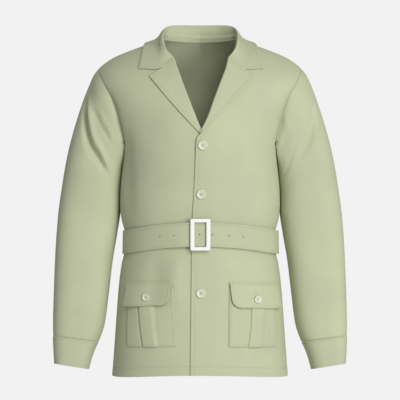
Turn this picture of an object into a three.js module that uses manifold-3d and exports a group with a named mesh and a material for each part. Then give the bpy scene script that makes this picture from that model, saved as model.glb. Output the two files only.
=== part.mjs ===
// A belted blazer of safari cut in sage cotton twill, filled out as worn but with nobody in it.
// Millimetres, +Z up, the front towards -Y. The origin is the middle of the neck opening, at the
// height of the inner ends of the shoulder seams. "Left" and "right" are the garment's own sides,
// so its left side is at +X, and side is +1 there and -1 on its right side.
import * as THREE from "three";
import Module from "manifold-3d";

const wasm = await Module();
wasm.setup();

// A table with a name for each column
const named = (names, row) => Object.fromEntries(names.map((name, i) => [name, row[i]]));
const table = (names, rows) => rows.map((row) => named(names, row));

// Driving sizes of the cloth
const cloth = 1.8;
const seamGap = 0.4;
const hemLevel = -738.5;
const underarmLevel = -252;
const shoulderWidth = 441;
const neckWidth = 160;
const frontRise = 13;
const overlapLift = 2.7;

// Sizes of what is sewn on or threaded through
const belt = { height: 51, thickness: 2.4, clearance: 1.3 };
const beltLine = { sideLevel: -447.5, frontRise: 19.5, backRise: -3.5 };
const buckle = { x: 0.7, z: -428, width: 42, height: 67, bar: 8.4, depth: 4, round: 3 };
const frontButton = { radius: 10, thickness: 3 };
const flapButton = { radius: 8.3, thickness: 2.6 };

const colours = { cloth: 0xc6caa8, buckle: 0xf2f2ef, button: 0xe6e8d4 };

// Torso rings, from the hem up: half width, depth to the front and to the back, and squareness
const torsoRings = table(["z", "halfWidth", "front", "back", "square"], [
  [-741, 193, 135, 127, 2.25],
  [-681, 188.5, 134, 126, 2.25],
  [-610, 183.5, 131, 120, 2.25],
  [-540, 178, 128, 112, 2.25],
  [-492, 171.5, 125.5, 105, 2.25],
  [-470, 166.5, 121, 99.5, 2.25],
  [-426, 165.2, 120.5, 98, 2.25],
  [-403, 170.5, 125.5, 102.5, 2.25],
  [-340, 168.8, 132, 110, 2.3],
  [-290, 169, 138, 117, 2.3],
  [-252, 172, 140.5, 121, 2.3],
  [-230, 179, 140.5, 123, 2.25],
  [-197, 191, 139, 125, 2.2],
  [-163, 205, 136, 125, 2.2],
  [-132, 216, 131, 123, 2.2],
  [-100, 234, 125, 118, 2.2],
  [-66, 250, 118, 111, 2.2],
  [-30, 250, 112, 106, 2.2],
  [40, 250, 106, 100, 2.2],
]);

// The shoulder line seen from the front, out from the middle of the neck, and how far below it the
// cloth has rounded over to the full depth of the ring
const shoulderRidge = table(["x", "z", "reach"], [
  [0, 30, 150],
  [40, 17, 150],
  [80, 0, 146],
  [121, -14, 136],
  [156, -27, 124],
  [189, -41, 110],
  [205, -51, 102],
  [220.5, -63, 96],
  [250, -92, 90],
]);
const ridgeY = 6;

// Soft creases of the torso in the front or back view: troughs, or ridges where the depth is
// negative. facing is -1 in front and 1 behind.
const torsoFolds = table(["facing", "fromX", "fromZ", "toX", "toZ", "width", "depth"], [
  [-1, -152, -262, -149, -398, 11, 3.2],
  [-1, 156, -262, 153, -398, 10, 2.4],
  [-1, -49, -470, -52, -600, 20, -2.4],
  [-1, -92, -478, -100, -540, 22, 2],
  [-1, 84, -478, 92, -530, 22, 1.6],
  [1, -86, -300, -78, -405, 24, 3],
  [1, 84, -310, 76, -405, 24, 3],
  [1, -60, -480, -68, -620, 26, 2.8],
  [1, 66, -480, 74, -610, 26, 2.8],
  [1, -150, -275, -146, -400, 12, 3],
  [1, 150, -275, 146, -400, 12, 3],
]);
const ridgeRoundness = 0.58;

// Armholes, from the underarm to the shoulder: turn is the sideways angle in degrees
const frontArmhole = table(["turn", "z"], [
  [90, -252],
  [80, -251.6],
  [72, -249],
  [66.9, -242.5],
  [64.2, -230],
  [62.4, -197],
  [61.6, -164],
  [62.9, -132],
  [63.4, -104],
  [61.9, -63],
]);
const backArmhole = table(["turn", "z"], [
  [90, -252],
  [80, -251],
  [73, -246],
  [69, -236],
  [66.5, -215],
  [65.5, -185],
  [65.5, -150],
  [65.5, -115],
  [64, -90],
  [61.9, -63],
]);

// Inner edge of each front: hem, closing edge, break, roll line of the lapel, and neck
const frontEdges = {
  1: table(["z", "x"], [
    [-741, -20.5],
    [-650, -19.6],
    [-552, -18.4],
    [-462, -17.3],
    [-390, -15.6],
    [-342, -12.9],
    [-283, -10.1],
    [-238, -8.2],
    [-217, -3.5],
    [-207, 2.1],
    [-177, 18.6],
    [-142, 32],
    [-100, 46.5],
    [-73, 55.5],
    [-49, 62],
    [-22, 73.5],
    [0, 80],
  ]),
  [-1]: table(["z", "x"], [
    [-741, -24],
    [-300, -24],
    [-262, -24],
    [-247, -20.5],
    [-224, -10.5],
    [-207, -3.4],
    [-192, 3],
    [-146, 22.5],
    [-100, 40],
    [-70, 51],
    [-49, 59.5],
    [-22, 73],
    [0, 80],
  ]),
};
const gorgeLevel = -49;
const rollBack = 5.2;
const neckDip = 4;

// Lapels in the front view: where the outer edge starts and ends, and the break at the foot
const lapels = {
  1: {
    foot: { x: -0.9, z: -213.5 }, footOuter: { x: 1.6, z: -212.5 }, tip: { x: 113.5, z: -87.5 },
  },
  [-1]: {
    foot: { x: -6.5, z: -214.5 }, footOuter: { x: 0.6, z: -214 }, tip: { x: 108.5, z: -89.5 },
  },
};
const lapelRoll = { radius: 3.6, height: 3.3, edgeHeight: 2.8, start: -0.2 };
const lapelBow = 5.5;
const gorgeBow = 3;

// Half of the collar, from the centre back to its front end: the neck seam (sideways along the
// back, then downwards along the front), the axis of the roll, the middle of the fall and its edge
const collarColumns = ["rollX", "rollY", "rollZ", "midX", "midY", "midZ", "edgeX", "edgeY", "edgeZ"];
const collarStations = table(["at", "seam", ...collarColumns], [
  [0, 0, 0, 67, 33, 0, 77, 12, 0, 78, -13],
  [1, 34, 35, 64, 33, 39, 73, 12, 43, 72, -15],
  [2, 59, 60, 49, 31, 70, 56, 10, 81, 56, -17],
  [3, 74, 74, 27, 24, 88, 31, 5, 108, 32, -18],
  [4, 80, 77, 4, 11, 95, 6, -1, 121, 6, -13],
  [5, -16, 73, -48, -7.5, 97, -34, -18, 122.5, -23, -22],
  [6, -32, 66.5, -70.5, -26, 92, -66.7, -42, 125.5, -58, -48],
  [7, -46, 59, -88.5, -43.5, 86.5, -94, -73.5, 130, -84, -75.5],
]);
const collarShoulder = 4;
const collarLeftReach = 4.5;
const collarGap = { back: 0.8, front: 2.2 };
const collarRoll = { half: 3.4, rise: 4 };
const collarLie = { mid: 5, edge: 3.6 };

// Sleeve rings, from the armhole to the cuff seam: the outer and inner lines seen from the front,
// half the depth, and the middle of the ring from front to back
const sleeveRings = table(["along", "outX", "outZ", "inX", "inZ", "depth", "y"], [
  [0, 221, -63.6, 172.6, -252, 70, 0],
  [22, 234, -80, 176, -253.5, 72, 2],
  [52, 246.5, -107, 175, -264, 74, 5],
  [92, 260, -145, 173, -280, 75, 9],
  [142, 275, -192, 171.2, -304, 75, 13],
  [202, 290.5, -250, 171.2, -334, 73, 15],
  [275, 303.5, -322, 174.6, -376, 70, 15],
  [345, 312.5, -390, 181.5, -424, 67, 12],
  [424, 317.5, -469, 192.5, -487, 63, 4],
  [515, 320, -560, 201, -563, 59, -8],
  [577, 320.8, -622, 209, -623, 55.5, -17],
  [611, 320, -655, 221, -664, 51.5, -22],
  [612, 320, -656, 221.4, -665, 51.5, -22],
  [640, 318.8, -683, 231, -692, 47.5, -25],
  [668, 316.8, -711.5, 241, -723.5, 44, -28],
]);
const cuffStart = 612;
const cuffEnd = 668;
const capFade = 150;

// Drag lines of the sleeves: from and to as degrees round the sleeve and distance along it
const sleeveFolds = table(["fromAngle", "fromAlong", "toAngle", "toAlong", "width", "depth"], [
  [14, 84, 88, 205, 15, 5.5],
  [104, 92, 118, 150, 11, 2.6],
  [40, 150, 108, 262, 26, -2.4],
  [-30, 90, -98, 210, 15, 4.5],
  [205, 330, 262, 372, 16, 2.6],
]);

// Patch pockets with a box pleat, and their flaps, in the front view
const pockets = {
  1: {
    inTop: 61.5, inFoot: 60.5, outTop: 160, outFoot: 163, top: -541,
    foot: -666, outDrop: 4, pleatTop: 105, pleatMid: 108, pleatFoot: 101,
    pleatWidth: 28,
  },
  [-1]: {
    inTop: 56.5, inFoot: 49.8, outTop: 154, outFoot: 156, top: -541,
    foot: -664, outDrop: 5, pleatTop: 99, pleatMid: 97, pleatFoot: 89.5,
    pleatWidth: 30,
  },
};
const flaps = {
  1: {
    inTop: 62.5, inLean: 6, outTop: 160.5, outFoot: 168.5, top: -528.5,
    foot: -582, outDrop: 5, corner: 15, buttonX: 118.6, buttonZ: -566.5,
  },
  [-1]: {
    inTop: 60, inLean: 6, outTop: 153, outFoot: 158.5, top: -526.5,
    foot: -577, outDrop: 6, corner: 15, buttonX: 111.7, buttonZ: -562,
  },
};
const patchFace = 2.4;
const pleatHeight = 2;
const frontButtonPlaces = table(["x", "z"], [
  [5.9, -240],
  [2.7, -343],
  [2.1, -552],
]);

const radians = THREE.MathUtils.degToRad;
const { clamp, lerp } = THREE.MathUtils;
const vector = (x, y, z) => new THREE.Vector3(x, y, z);
const ease = (from, to, value) => THREE.MathUtils.smoothstep(value, from, to);

// A smooth curve through one column of a table, which keeps the rises and falls of its rows
function reader(rows, by, column) {
  const xs = rows.map((row) => row[by]);
  const ys = rows.map((row) => row[column]);
  const last = xs.length - 1;
  const secants = xs.slice(1).map((x, i) => (ys[i + 1] - ys[i]) / (x - xs[i]));
  const slopes = xs.map((_, i) => {
    if (i === 0) return secants[0];
    if (i === last) return secants[last - 1];
    const [before, after] = [secants[i - 1], secants[i]];
    return before * after <= 0 ? 0 : (2 * before * after) / (before + after);
  });
  return (x) => {
    if (x <= xs[0]) return ys[0];
    if (x >= xs[last]) return ys[last];
    const i = xs.findIndex((limit) => x < limit) - 1;
    const width = xs[i + 1] - xs[i];
    const t = (x - xs[i]) / width;
    const h = (1 - t) * (1 - t);
    return (
      ys[i] * h * (1 + 2 * t) +
      slopes[i] * width * t * h +
      ys[i + 1] * t * t * (3 - 2 * t) +
      slopes[i + 1] * width * t * t * (t - 1)
    );
  };
}

const ring = Object.fromEntries(
  ["halfWidth", "front", "back", "square"].map((name) => [name, reader(torsoRings, "z", name)]),
);
const ridgeLevel = reader(shoulderRidge, "x", "z");
const ridgeReach = reader(shoulderRidge, "x", "reach");

// How deep the creases of a list are at a place: each one fades at both ends
function creaseDepth(folds, x, z) {
  let sum = 0;
  for (const fold of folds) {
    const [runX, runZ] = [fold.toX - fold.fromX, fold.toZ - fold.fromZ];
    const [a, b] = [x - fold.fromX, z - fold.fromZ];
    const t = (a * runX + b * runZ) / (runX * runX + runZ * runZ);
    const away = Math.abs(a * runZ - b * runX) / Math.hypot(runX, runZ);
    const lasting = ease(-0.15, 0.3, t) * (1 - ease(0.65, 1.1, t));
    sum += fold.depth * Math.exp(-((away / fold.width) ** 2)) * lasting;
  }
  return sum;
}

// The outer face of the torso, at a sideways angle and a height; facing is -1 in front, 1 behind
function torsoPoint(turn, z, facing) {
  const x = ring.halfWidth(z) * Math.sin(turn);
  return vector(x, torsoDepth(x, z, facing), z);
}

function ringDepth(x, z, facing) {
  const power = ring.square(z);
  const crease = creaseDepth(torsoFolds.filter((fold) => fold.facing === facing), x, z);
  const share = clamp(Math.abs(x) / ring.halfWidth(z), 0, 1);
  const depth = facing < 0 ? ring.front(z) : ring.back(z);
  return facing * (depth - crease) * Math.pow(1 - Math.pow(share, power), 1 / power);
}

function torsoDepth(x, z, facing) {
  const drop = (ridgeLevel(Math.abs(x)) - z) / ridgeReach(Math.abs(x));
  const left = clamp(1 - drop, 0, 1);
  const share = Math.pow(1 - left * left, ridgeRoundness);
  return ridgeY + (ringDepth(x, z, facing) - ridgeY) * share;
}

const turnAt = (x, z) => Math.asin(clamp(x / ring.halfWidth(z), -1, 1));

// Zero on the torso's outer face, negative within it
function torsoField(p) {
  const facing = p.y < ridgeY ? -1 : 1;
  const share = (p.y - ridgeY) / (ringDepth(p.x, p.z, facing) - ridgeY);
  const drop = (ridgeLevel(Math.abs(p.x)) - p.z) / ridgeReach(Math.abs(p.x));
  const left = Math.max(0, 1 - drop);
  return Math.pow(Math.abs(share), 1 / ridgeRoundness) + left * left - 1;
}

// Moves a point straight off the torso until it lies that far from its outer face
function laidOff(point, distance) {
  const p = point.clone();
  const step = 0.5;
  for (let round = 0; round < 8; round++) {
    const slope = vector(
      torsoField(vector(p.x + step, p.y, p.z)) - torsoField(vector(p.x - step, p.y, p.z)),
      torsoField(vector(p.x, p.y + step, p.z)) - torsoField(vector(p.x, p.y - step, p.z)),
      torsoField(vector(p.x, p.y, p.z + step)) - torsoField(vector(p.x, p.y, p.z - step)),
    ).divideScalar(2 * step);
    const size = slope.length();
    p.addScaledVector(slope.divideScalar(size), clamp(distance - torsoField(p) / size, -6, 6));
  }
  return p;
}

// The left front lies over the right one at the middle, and a little prouder over the lapel's foot
function frontLift(side, x, z) {
  if (side < 0) return 0;
  const foot = Math.exp(-(((z + 213) / 42) ** 2));
  return (overlapLift + 2.8 * foot) * (1 - ease(24, 84, x));
}

// A point of a front panel's outer face at a place of the front view, x counted outwards
function frontPoint(side, x, z) {
  const p = torsoPoint(turnAt(x, z), z, -1);
  p.y -= frontLift(side, x, z);
  p.x *= side;
  return p;
}

function frontNormal(side, x, z) {
  const step = 1.5;
  const across = frontPoint(side, x + step, z).sub(frontPoint(side, x - step, z));
  const up = frontPoint(side, x, z + step).sub(frontPoint(side, x, z - step));
  return across.cross(up).normalize().multiplyScalar(side);
}

const onFront = (side, x, z, distance) =>
  frontPoint(side, x, z).addScaledVector(frontNormal(side, x, z), distance);

// Evenly spaced values between two ends
const spread = (count, from = 0, to = 1) =>
  Array.from({ length: count + 1 }, (_, i) => lerp(from, to, i / count));

// A closed wall from rows of face points. Its hidden side is the face moved back by the thickness.
// outward is 1 where the face normal is the row direction crossed with the next row's direction.
function wallGeometry(rows, { thickness = cloth, outward = 1, round = false, turnNormal } = {}) {
  const [high, wide] = [rows.length, rows[0].length];
  const wrap = (i) => (round ? (i + wide) % wide : clamp(i, 0, wide - 1));
  const face = rows.flat();
  const hidden = [];
  rows.forEach((row, j) =>
    row.forEach((p, i) => {
      const along = row[wrap(i + 1)].clone().sub(row[wrap(i - 1)]);
      const up = rows[Math.min(j + 1, high - 1)][i].clone().sub(rows[Math.max(j - 1, 0)][i]);
      const normal = along.cross(up).normalize().multiplyScalar(outward);
      if (turnNormal) turnNormal(normal, i, j);
      hidden.push(p.clone().addScaledVector(normal, -thickness));
    }),
  );
  const index = [];
  const quad = (a, b, c, d) => {
    index.push(...(outward > 0 ? [a, b, c, a, c, d] : [a, c, b, a, d, c]));
  };
  const at = (j, i) => j * wide + wrap(i);
  const under = face.length;
  const span = round ? wide : wide - 1;
  for (let j = 0; j < high - 1; j++) {
    for (let i = 0; i < span; i++) {
      const corners = [at(j, i), at(j, i + 1), at(j + 1, i + 1), at(j + 1, i)];
      quad(...corners);
      quad(...corners.map((n) => n + under).reverse());
    }
  }
  for (let i = 0; i < span; i++) {
    quad(at(0, i), at(0, i) + under, at(0, i + 1) + under, at(0, i + 1));
    const [near, far] = [at(high - 1, i), at(high - 1, i + 1)];
    quad(far, far + under, near + under, near);
  }
  for (let j = 0; j < high - 1 && !round; j++) {
    quad(at(j + 1, 0), at(j + 1, 0) + under, at(j, 0) + under, at(j, 0));
    const [low, top] = [at(j, wide - 1), at(j + 1, wide - 1)];
    quad(low, low + under, top + under, top);
  }
  const geometry = new THREE.BufferGeometry();
  const points = [...face, ...hidden].flatMap((p) => [p.x, p.y, p.z]);
  geometry.setAttribute("position", new THREE.Float32BufferAttribute(points, 3));
  geometry.setIndex(index);
  return geometry;
}

// Heights of the straight rows below the underarm, closer together at the belt
const plainLevels = [-698, -652, -606, -562, -522, -492, -470, -448, -426, -405, -382, -348, -312, -280];
const lowerLevels = [hemLevel, ...plainLevels, underarmLevel];
const upperRows = 13;

// Places along an armhole, even in length from the underarm to the shoulder
function armholePlaces(rows, facing, count) {
  const turn = reader(rows.map((row, i) => ({ ...row, i })), "i", "turn");
  const level = reader(rows.map((row, i) => ({ ...row, i })), "i", "z");
  const fine = spread(200, 0, rows.length - 1).map((i) => {
    const place = { turn: radians(turn(i)), z: level(i) };
    return { ...place, point: torsoPoint(place.turn, place.z, facing) };
  });
  const lengths = [0];
  fine.slice(1).forEach((place, i) => lengths.push(lengths[i] + place.point.distanceTo(fine[i].point)));
  return spread(count, 0, lengths.at(-1)).map((length) => {
    const i = clamp(lengths.findIndex((limit) => limit >= length), 1, lengths.length - 1);
    const t = clamp((length - lengths[i - 1]) / (lengths[i] - lengths[i - 1]), 0, 1);
    return { turn: lerp(fine[i - 1].turn, fine[i].turn, t), z: lerp(fine[i - 1].z, fine[i].z, t) };
  });
}

// The inner edge of a front is cut back under the lapel that rolls over it
const edgeReaders = { 1: reader(frontEdges[1], "z", "x"), [-1]: reader(frontEdges[-1], "z", "x") };

function frontEdgeX(side, z) {
  const breakLevel = side > 0 ? -224 : -251;
  const underLapel = ease(breakLevel, breakLevel + 11, z) * (1 - ease(gorgeLevel + 8, gorgeLevel + 24, z));
  return edgeReaders[side](z) + rollBack * underLapel;
}

// The height of a row near the shoulder follows the ridge instead of a straight line
const towardsRidge = (row) => ease(0.35, 1, row / upperRows);

function frontRows(side) {
  const columns = 12;
  const edgeTurn = (z) => turnAt(frontEdgeX(side, z), z);
  const rows = lowerLevels.map((level) => {
    const fade = 1 - ease(-430, underarmLevel, level);
    return spread(columns).map((share) => {
      const turn = lerp(edgeTurn(level), Math.PI / 2, share);
      const z = level + frontRise * fade * Math.cos(turn) ** 2;
      return { turn: share < 1 ? lerp(edgeTurn(z), Math.PI / 2, share) : turn, z };
    });
  });
  const outer = armholePlaces(frontArmhole, -1, upperRows);
  for (let row = 1; row <= upperRows; row++) {
    const t = row / upperRows;
    const innerZ = lerp(underarmLevel, 0, t ** 1.06);
    const inner = { turn: edgeTurn(innerZ), z: innerZ };
    rows.push(
      spread(columns).map((share) => {
        const turn = lerp(inner.turn, outer[row].turn, share);
        const straight = lerp(inner.z, outer[row].z, share);
        const ridge = ridgeLevel(ring.halfWidth(straight) * Math.sin(turn));
        const bend = ridge - lerp(0, ridgeLevel(shoulderWidth / 2), share);
        return { turn, z: row === upperRows ? ridge : straight + bend * towardsRidge(row) };
      }),
    );
  }
  return rows.map((row, j) =>
    row.map(({ turn, z }, i) => {
      const x = ring.halfWidth(z) * Math.sin(turn);
      const p = torsoPoint(turn, z, -1);
      p.y -= frontLift(side, x, z);
      if (i === columns || j === rows.length - 1) p.y -= seamGap / 2;
      p.x *= side;
      return p;
    }),
  );
}

function frontGeometry(side) {
  const rows = frontRows(side);
  const topRow = rows.length - 1;
  const sideColumn = rows[0].length - 1;
  return wallGeometry(rows, {
    outward: side,
    turnNormal: (normal, i, j) => {
      if (j === topRow || (i === sideColumn && j < lowerLevels.length)) normal.setY(0).normalize();
    },
  });
}

const backNeckLevel = (x) => neckDip * ((x / (neckWidth / 2)) ** 2 - 1);

function backGeometry() {
  const half = 12;
  const neckTurn = turnAt(neckWidth / 2, 0);
  const across = spread(2 * half, -1, 1);
  const neckShare = 0.5;
  // Columns gather towards the inner end of each shoulder seam, where the neck edge bends most
  const turnShare = (share, limit) => {
    const size = Math.abs(share);
    const neck = neckTurn / limit;
    const past = (size - neckShare) / (1 - neckShare);
    const gathered = neck * Math.sin((Math.PI / 2) * Math.min(1, size / neckShare));
    return Math.sign(share) * (past < 0 ? gathered : neck + past * (1 - neck));
  };
  const rows = lowerLevels.map((level) =>
    across.map((share) => ({ turn: (Math.PI / 2) * turnShare(share, Math.PI / 2), z: level })),
  );
  const outer = armholePlaces(backArmhole, 1, upperRows);
  for (let row = 1; row <= upperRows; row++) {
    const t = row / upperRows;
    const middleZ = lerp(underarmLevel, -neckDip, t);
    rows.push(
      across.map((share) => {
        const limit = outer[row].turn;
        const turn = limit * turnShare(share, limit);
        const x = Math.abs(ring.halfWidth(-60) * Math.sin(turn));
        const top = x < neckWidth / 2 ? backNeckLevel(x) : ridgeLevel(x);
        const straight = lerp(middleZ, outer[row].z, Math.abs(share));
        const bend = top - lerp(-neckDip, ridgeLevel(shoulderWidth / 2), Math.abs(share));
        return { turn, z: row === upperRows ? top : straight + bend * towardsRidge(row) };
      }),
    );
  }
  const points = rows.map((row, j) =>
    row.map(({ turn, z }, i) => {
      const p = torsoPoint(turn, z, 1);
      if (i === 0 || i === 2 * half || j === rows.length - 1) p.y += seamGap / 2;
      return p;
    }),
  );
  const topRow = points.length - 1;
  return wallGeometry(points, {
    outward: -1,
    turnNormal: (normal, i, j) => {
      const onSideSeam = (i === 0 || i === 2 * half) && j < lowerLevels.length;
      const onShoulder = j === topRow && Math.abs(points[j][i].x) > neckWidth / 2 - 4;
      if (onSideSeam || onShoulder) normal.setY(0).normalize();
    },
  });
}

const sleeve = Object.fromEntries(
  ["outX", "outZ", "inX", "inZ", "depth", "y"].map((name) => [name, reader(sleeveRings, "along", name)]),
);

const sleeveGirth = 62;
const flatSleeveFolds = sleeveFolds.map((fold) => ({
  ...fold,
  fromX: radians(fold.fromAngle) * sleeveGirth,
  fromZ: fold.fromAlong,
  toX: radians(fold.toAngle) * sleeveGirth,
  toZ: fold.toAlong,
}));

// A ring of the plain sleeve tube: angle 0 is outside, a quarter turn on is in front
function sleeveTube(angle, along) {
  const outer = vector(sleeve.outX(along), 0, sleeve.outZ(along));
  const inner = vector(sleeve.inX(along), 0, sleeve.inZ(along));
  const middle = outer.clone().add(inner).multiplyScalar(0.5);
  const reach = outer.sub(middle).multiplyScalar(Math.cos(angle));
  return middle.add(reach).add(vector(0, sleeve.y(along) - sleeve.depth(along) * Math.sin(angle), 0));
}

// Drag lines of a sleeve, laid out flat as distance round it and along it, on the way that is nearer
function sleeveCrease(angle, along) {
  const laps = [-1, 0, 1].map((lap) => (angle + lap * 2 * Math.PI) * sleeveGirth);
  return laps.reduce((sum, round) => sum + creaseDepth(flatSleeveFolds, round, along), 0);
}

// The closed line of the armhole, from the shoulder round by the front and back again behind
function armholeLoop(around) {
  const quarter = around / 2;
  const half = (rows, facing) =>
    armholePlaces(rows, facing, quarter).map(({ turn, z }) => torsoPoint(turn, z, facing));
  return [...half(frontArmhole, -1).slice(1).reverse(), ...half(backArmhole, 1).slice(0, -1)];
}

function sleevePoint(side, k, around, along, loop) {
  const angle = (2 * Math.PI * k) / around;
  const p = sleeveTube(angle, along);
  const cap = 1 - ease(0, capFade, along);
  p.addScaledVector(loop[k].clone().sub(sleeveTube(angle, 0)), cap);
  const middle = sleeveTube(angle, along).add(sleeveTube(angle + Math.PI, along)).multiplyScalar(0.5);
  p.addScaledVector(p.clone().sub(middle).normalize(), -sleeveCrease(angle, along));
  p.x *= side;
  return p;
}

function tubeGeometry(side, levels, startGap) {
  const around = 24;
  const loop = armholeLoop(around);
  const steps = Array.from({ length: around }, (_, k) => k);
  const rows = levels.map((along) => steps.map((k) => sleevePoint(side, k, around, along, loop)));
  // The first ring stands off the seam by the gap, along the cloth
  rows[0] = rows[0].map((p, k) => {
    const along = rows[1][k].clone().sub(p).normalize();
    return p.clone().addScaledVector(along, startGap);
  });
  return wallGeometry(rows, {
    outward: side,
    round: true,
    turnNormal: (normal, k, j) => {
      const top = Math.max(0, Math.cos((2 * Math.PI * k) / around));
      if (j === 0 && levels[0] === 0) normal.lerp(vector(side * 0.42, 0, 0.9), top).normalize();
    },
  });
}

const nearArmhole = [0, 9, 20, 34, 50, 68, 88, 108, 128, 150, 172, 196];
const downTheArm = [224, 256, 292, 332, 376, 424, 470, 515, 556, 588];
const sleeveLevels = [...nearArmhole, ...downTheArm, cuffStart - seamGap];
const sleeveGeometry = (side) => tubeGeometry(side, sleeveLevels, 0.9);
const cuffGeometry = (side) => tubeGeometry(side, [cuffStart, 642, cuffEnd], 0);

function lapelGeometry(side) {
  const { foot, footOuter, tip } = lapels[side];
  const columns = [0, 0.3, 1, 0, 0, 0];
  const steps = 11;
  const top = gorgeLevel - 2.6;
  const rows = spread(steps).map((t) => {
    const z = lerp(foot.z, top, t);
    const roll = vector(t === 0 ? foot.x : edgeReaders[side](z), 0, z);
    const bow = lapelBow * Math.sin(Math.PI * t);
    const outer = vector(lerp(footOuter.x, tip.x, t), 0, lerp(footOuter.z, tip.z, t));
    outer.add(vector(0.75 * bow, 0, -0.65 * bow));
    const line = outer.clone().sub(roll);
    const width = line.length();
    line.normalize();
    const radius = Math.min(lapelRoll.radius, width * 0.4);
    return columns.map((share, i) => {
      const d = i < 3 ? share * radius : lerp(radius, width, (i - 2) / 3);
      const round = Math.sqrt(1 - (1 - Math.min(1, d / radius)) ** 2);
      const settle = ease(radius, width, d);
      const height = lerp(lapelRoll.start, lerp(lapelRoll.height, lapelRoll.edgeHeight, settle), round);
      const place = roll.clone().addScaledVector(line, d);
      place.z -= gorgeBow * Math.sin(Math.PI * (d / width)) * t ** 4;
      return onFront(side, place.x, place.z, height);
    });
  });
  return wallGeometry(rows, { outward: side });
}

// The neck edge of the panels beside a collar station, on the garment's left: a point of their
// outer face, the way off the cloth there, and the way on past the edge
function neckEdge(side, at, seam) {
  const pointOf = (place) => {
    if (place <= collarShoulder) {
      const x = seam(place);
      return torsoPoint(turnAt(x, backNeckLevel(x)), backNeckLevel(x), 1);
    }
    const z = seam(place);
    const p = frontPoint(side, frontEdgeX(side, z), z);
    return p.setX(Math.abs(p.x));
  };
  const point = pointOf(at);
  const onBack = [Math.max(0, at - 0.1), Math.max(at, 0.1)];
  const lastStation = collarStations.at(-1).at;
  const onFrontPart = [Math.max(at - 0.1, collarShoulder + 0.01), Math.min(at + 0.1, lastStation)];
  const near = at <= collarShoulder ? onBack : onFrontPart;
  const along = pointOf(near[1]).sub(pointOf(near[0])).normalize();
  const off = laidOff(point, 3).sub(laidOff(point, -3)).normalize();
  return { point, off, past: along.cross(off).normalize() };
}

function collarGeometry() {
  const back = reader(collarStations.slice(0, collarShoulder + 1), "at", "seam");
  const frontStations = [{ at: collarShoulder, seam: 0 }, ...collarStations.slice(collarShoulder + 1)];
  const front = reader(frontStations, "at", "seam");
  const last = collarStations.at(-1).at;
  const seamAt = (at) => (at <= collarShoulder ? back(at) : front(at));
  const read = Object.fromEntries(
    collarColumns.map((name) => [name, reader(collarStations, "at", name)]),
  );
  const pointAt = (part, at) => vector(read[part + "X"](at), read[part + "Y"](at), read[part + "Z"](at));
  const onCloth = (side, part, at) => {
    const p = pointAt(part, at);
    if (part === "edge" && side > 0) p.x += collarLeftReach * ease(collarShoulder, last, at);
    return at > collarShoulder ? p.setY(torsoDepth(p.x, p.z, -1)) : p;
  };
  const sectionAt = (side, at) => {
    const neck = neckEdge(side, at, seamAt);
    const gap = lerp(collarGap.back, collarGap.front, ease(collarShoulder, collarShoulder + 1, at));
    const seam = neck.point.clone().addScaledVector(neck.off, -cloth).addScaledVector(neck.past, gap);
    const roll = pointAt("roll", at);
    const mid = laidOff(onCloth(side, "mid", at), collarLie.mid);
    const raised = pointAt("mid", at);
    if (at < collarShoulder && torsoField(raised) > torsoField(mid)) mid.copy(raised);
    const edge = laidOff(onCloth(side, "edge", at), collarLie.edge);
    const apex = roll.clone().sub(seam).normalize().add(roll.clone().sub(mid).normalize()).normalize();
    const out = mid.clone().sub(roll);
    out.addScaledVector(apex, -out.dot(apex)).normalize();
    const curve = new THREE.CatmullRomCurve3(
      [
        seam,
        roll.clone().addScaledVector(out, -collarRoll.half),
        roll.clone().addScaledVector(apex, collarRoll.rise),
        roll.clone().addScaledVector(out, collarRoll.half),
        mid,
        edge,
      ],
      false,
      "centripetal",
    );
    return { curve, off: neck.off };
  };
  const across = [0, 0.1, 0.2, 0.3, 0.4, 0.5, 0.6, 0.7, 0.8, 0.9, 1];
  const sections = spread(26, -last, last).map((at) => {
    const side = at < 0 ? -1 : 1;
    return { side, ...sectionAt(side, Math.abs(at)) };
  });
  const rows = across.map((t) =>
    sections.map(({ curve, side }) => {
      const p = curve.getPoint(t);
      p.x *= side;
      return p;
    }),
  );
  return wallGeometry(rows, {
    outward: 1,
    turnNormal: (normal, i, j) => {
      const { off, side } = sections[i];
      if (j === 0) normal.set(-off.x * side, -off.y, -off.z);
    },
  });
}

// The outer face of the strap at an angle round the waist, at its upper or lower edge (rim 1, -1)
function strapPoint(degrees, rim) {
  const lap = degrees > 180 ? degrees - 360 : degrees;
  const behind = Math.abs(lap) > 90;
  const facing = behind ? 1 : -1;
  const turn = radians(behind ? Math.sign(lap) * (180 - Math.abs(lap)) : lap);
  const rise = behind ? beltLine.backRise : beltLine.frontRise;
  const z = beltLine.sideLevel + rise * Math.cos(turn) ** 2 + (rim * belt.height) / 2;
  const p = torsoPoint(turn, z, facing);
  const step = 0.01;
  const along = torsoPoint(turn + step, z, facing).sub(torsoPoint(turn - step, z, facing));
  const off = vector(along.y, -along.x, 0).normalize().multiplyScalar(-facing);
  const onFrontEdge = behind ? 0 : overlapLift * (1 - ease(24, 90, Math.abs(p.x)));
  const outerLayer = (belt.thickness + 0.7) * ease(318, 352, degrees);
  const overBar = 0.7 * Math.exp(-(((degrees - 360) / 4) ** 2));
  return p.addScaledVector(off, belt.clearance + belt.thickness + onFrontEdge + outerLayer + overBar);
}

// The strap starts at the buckle, goes once round the waist and passes over its own start
function beltGeometry() {
  const tailEnd = 98;
  const columns = 76;
  const start = 2.2;
  const stops = spread(columns, start, 360 + tailEnd);
  const rows = [-1, 1].map((rim) => stops.map((degrees) => strapPoint(degrees, rim)));
  return wallGeometry(rows, { thickness: belt.thickness, outward: 1 });
}

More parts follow.
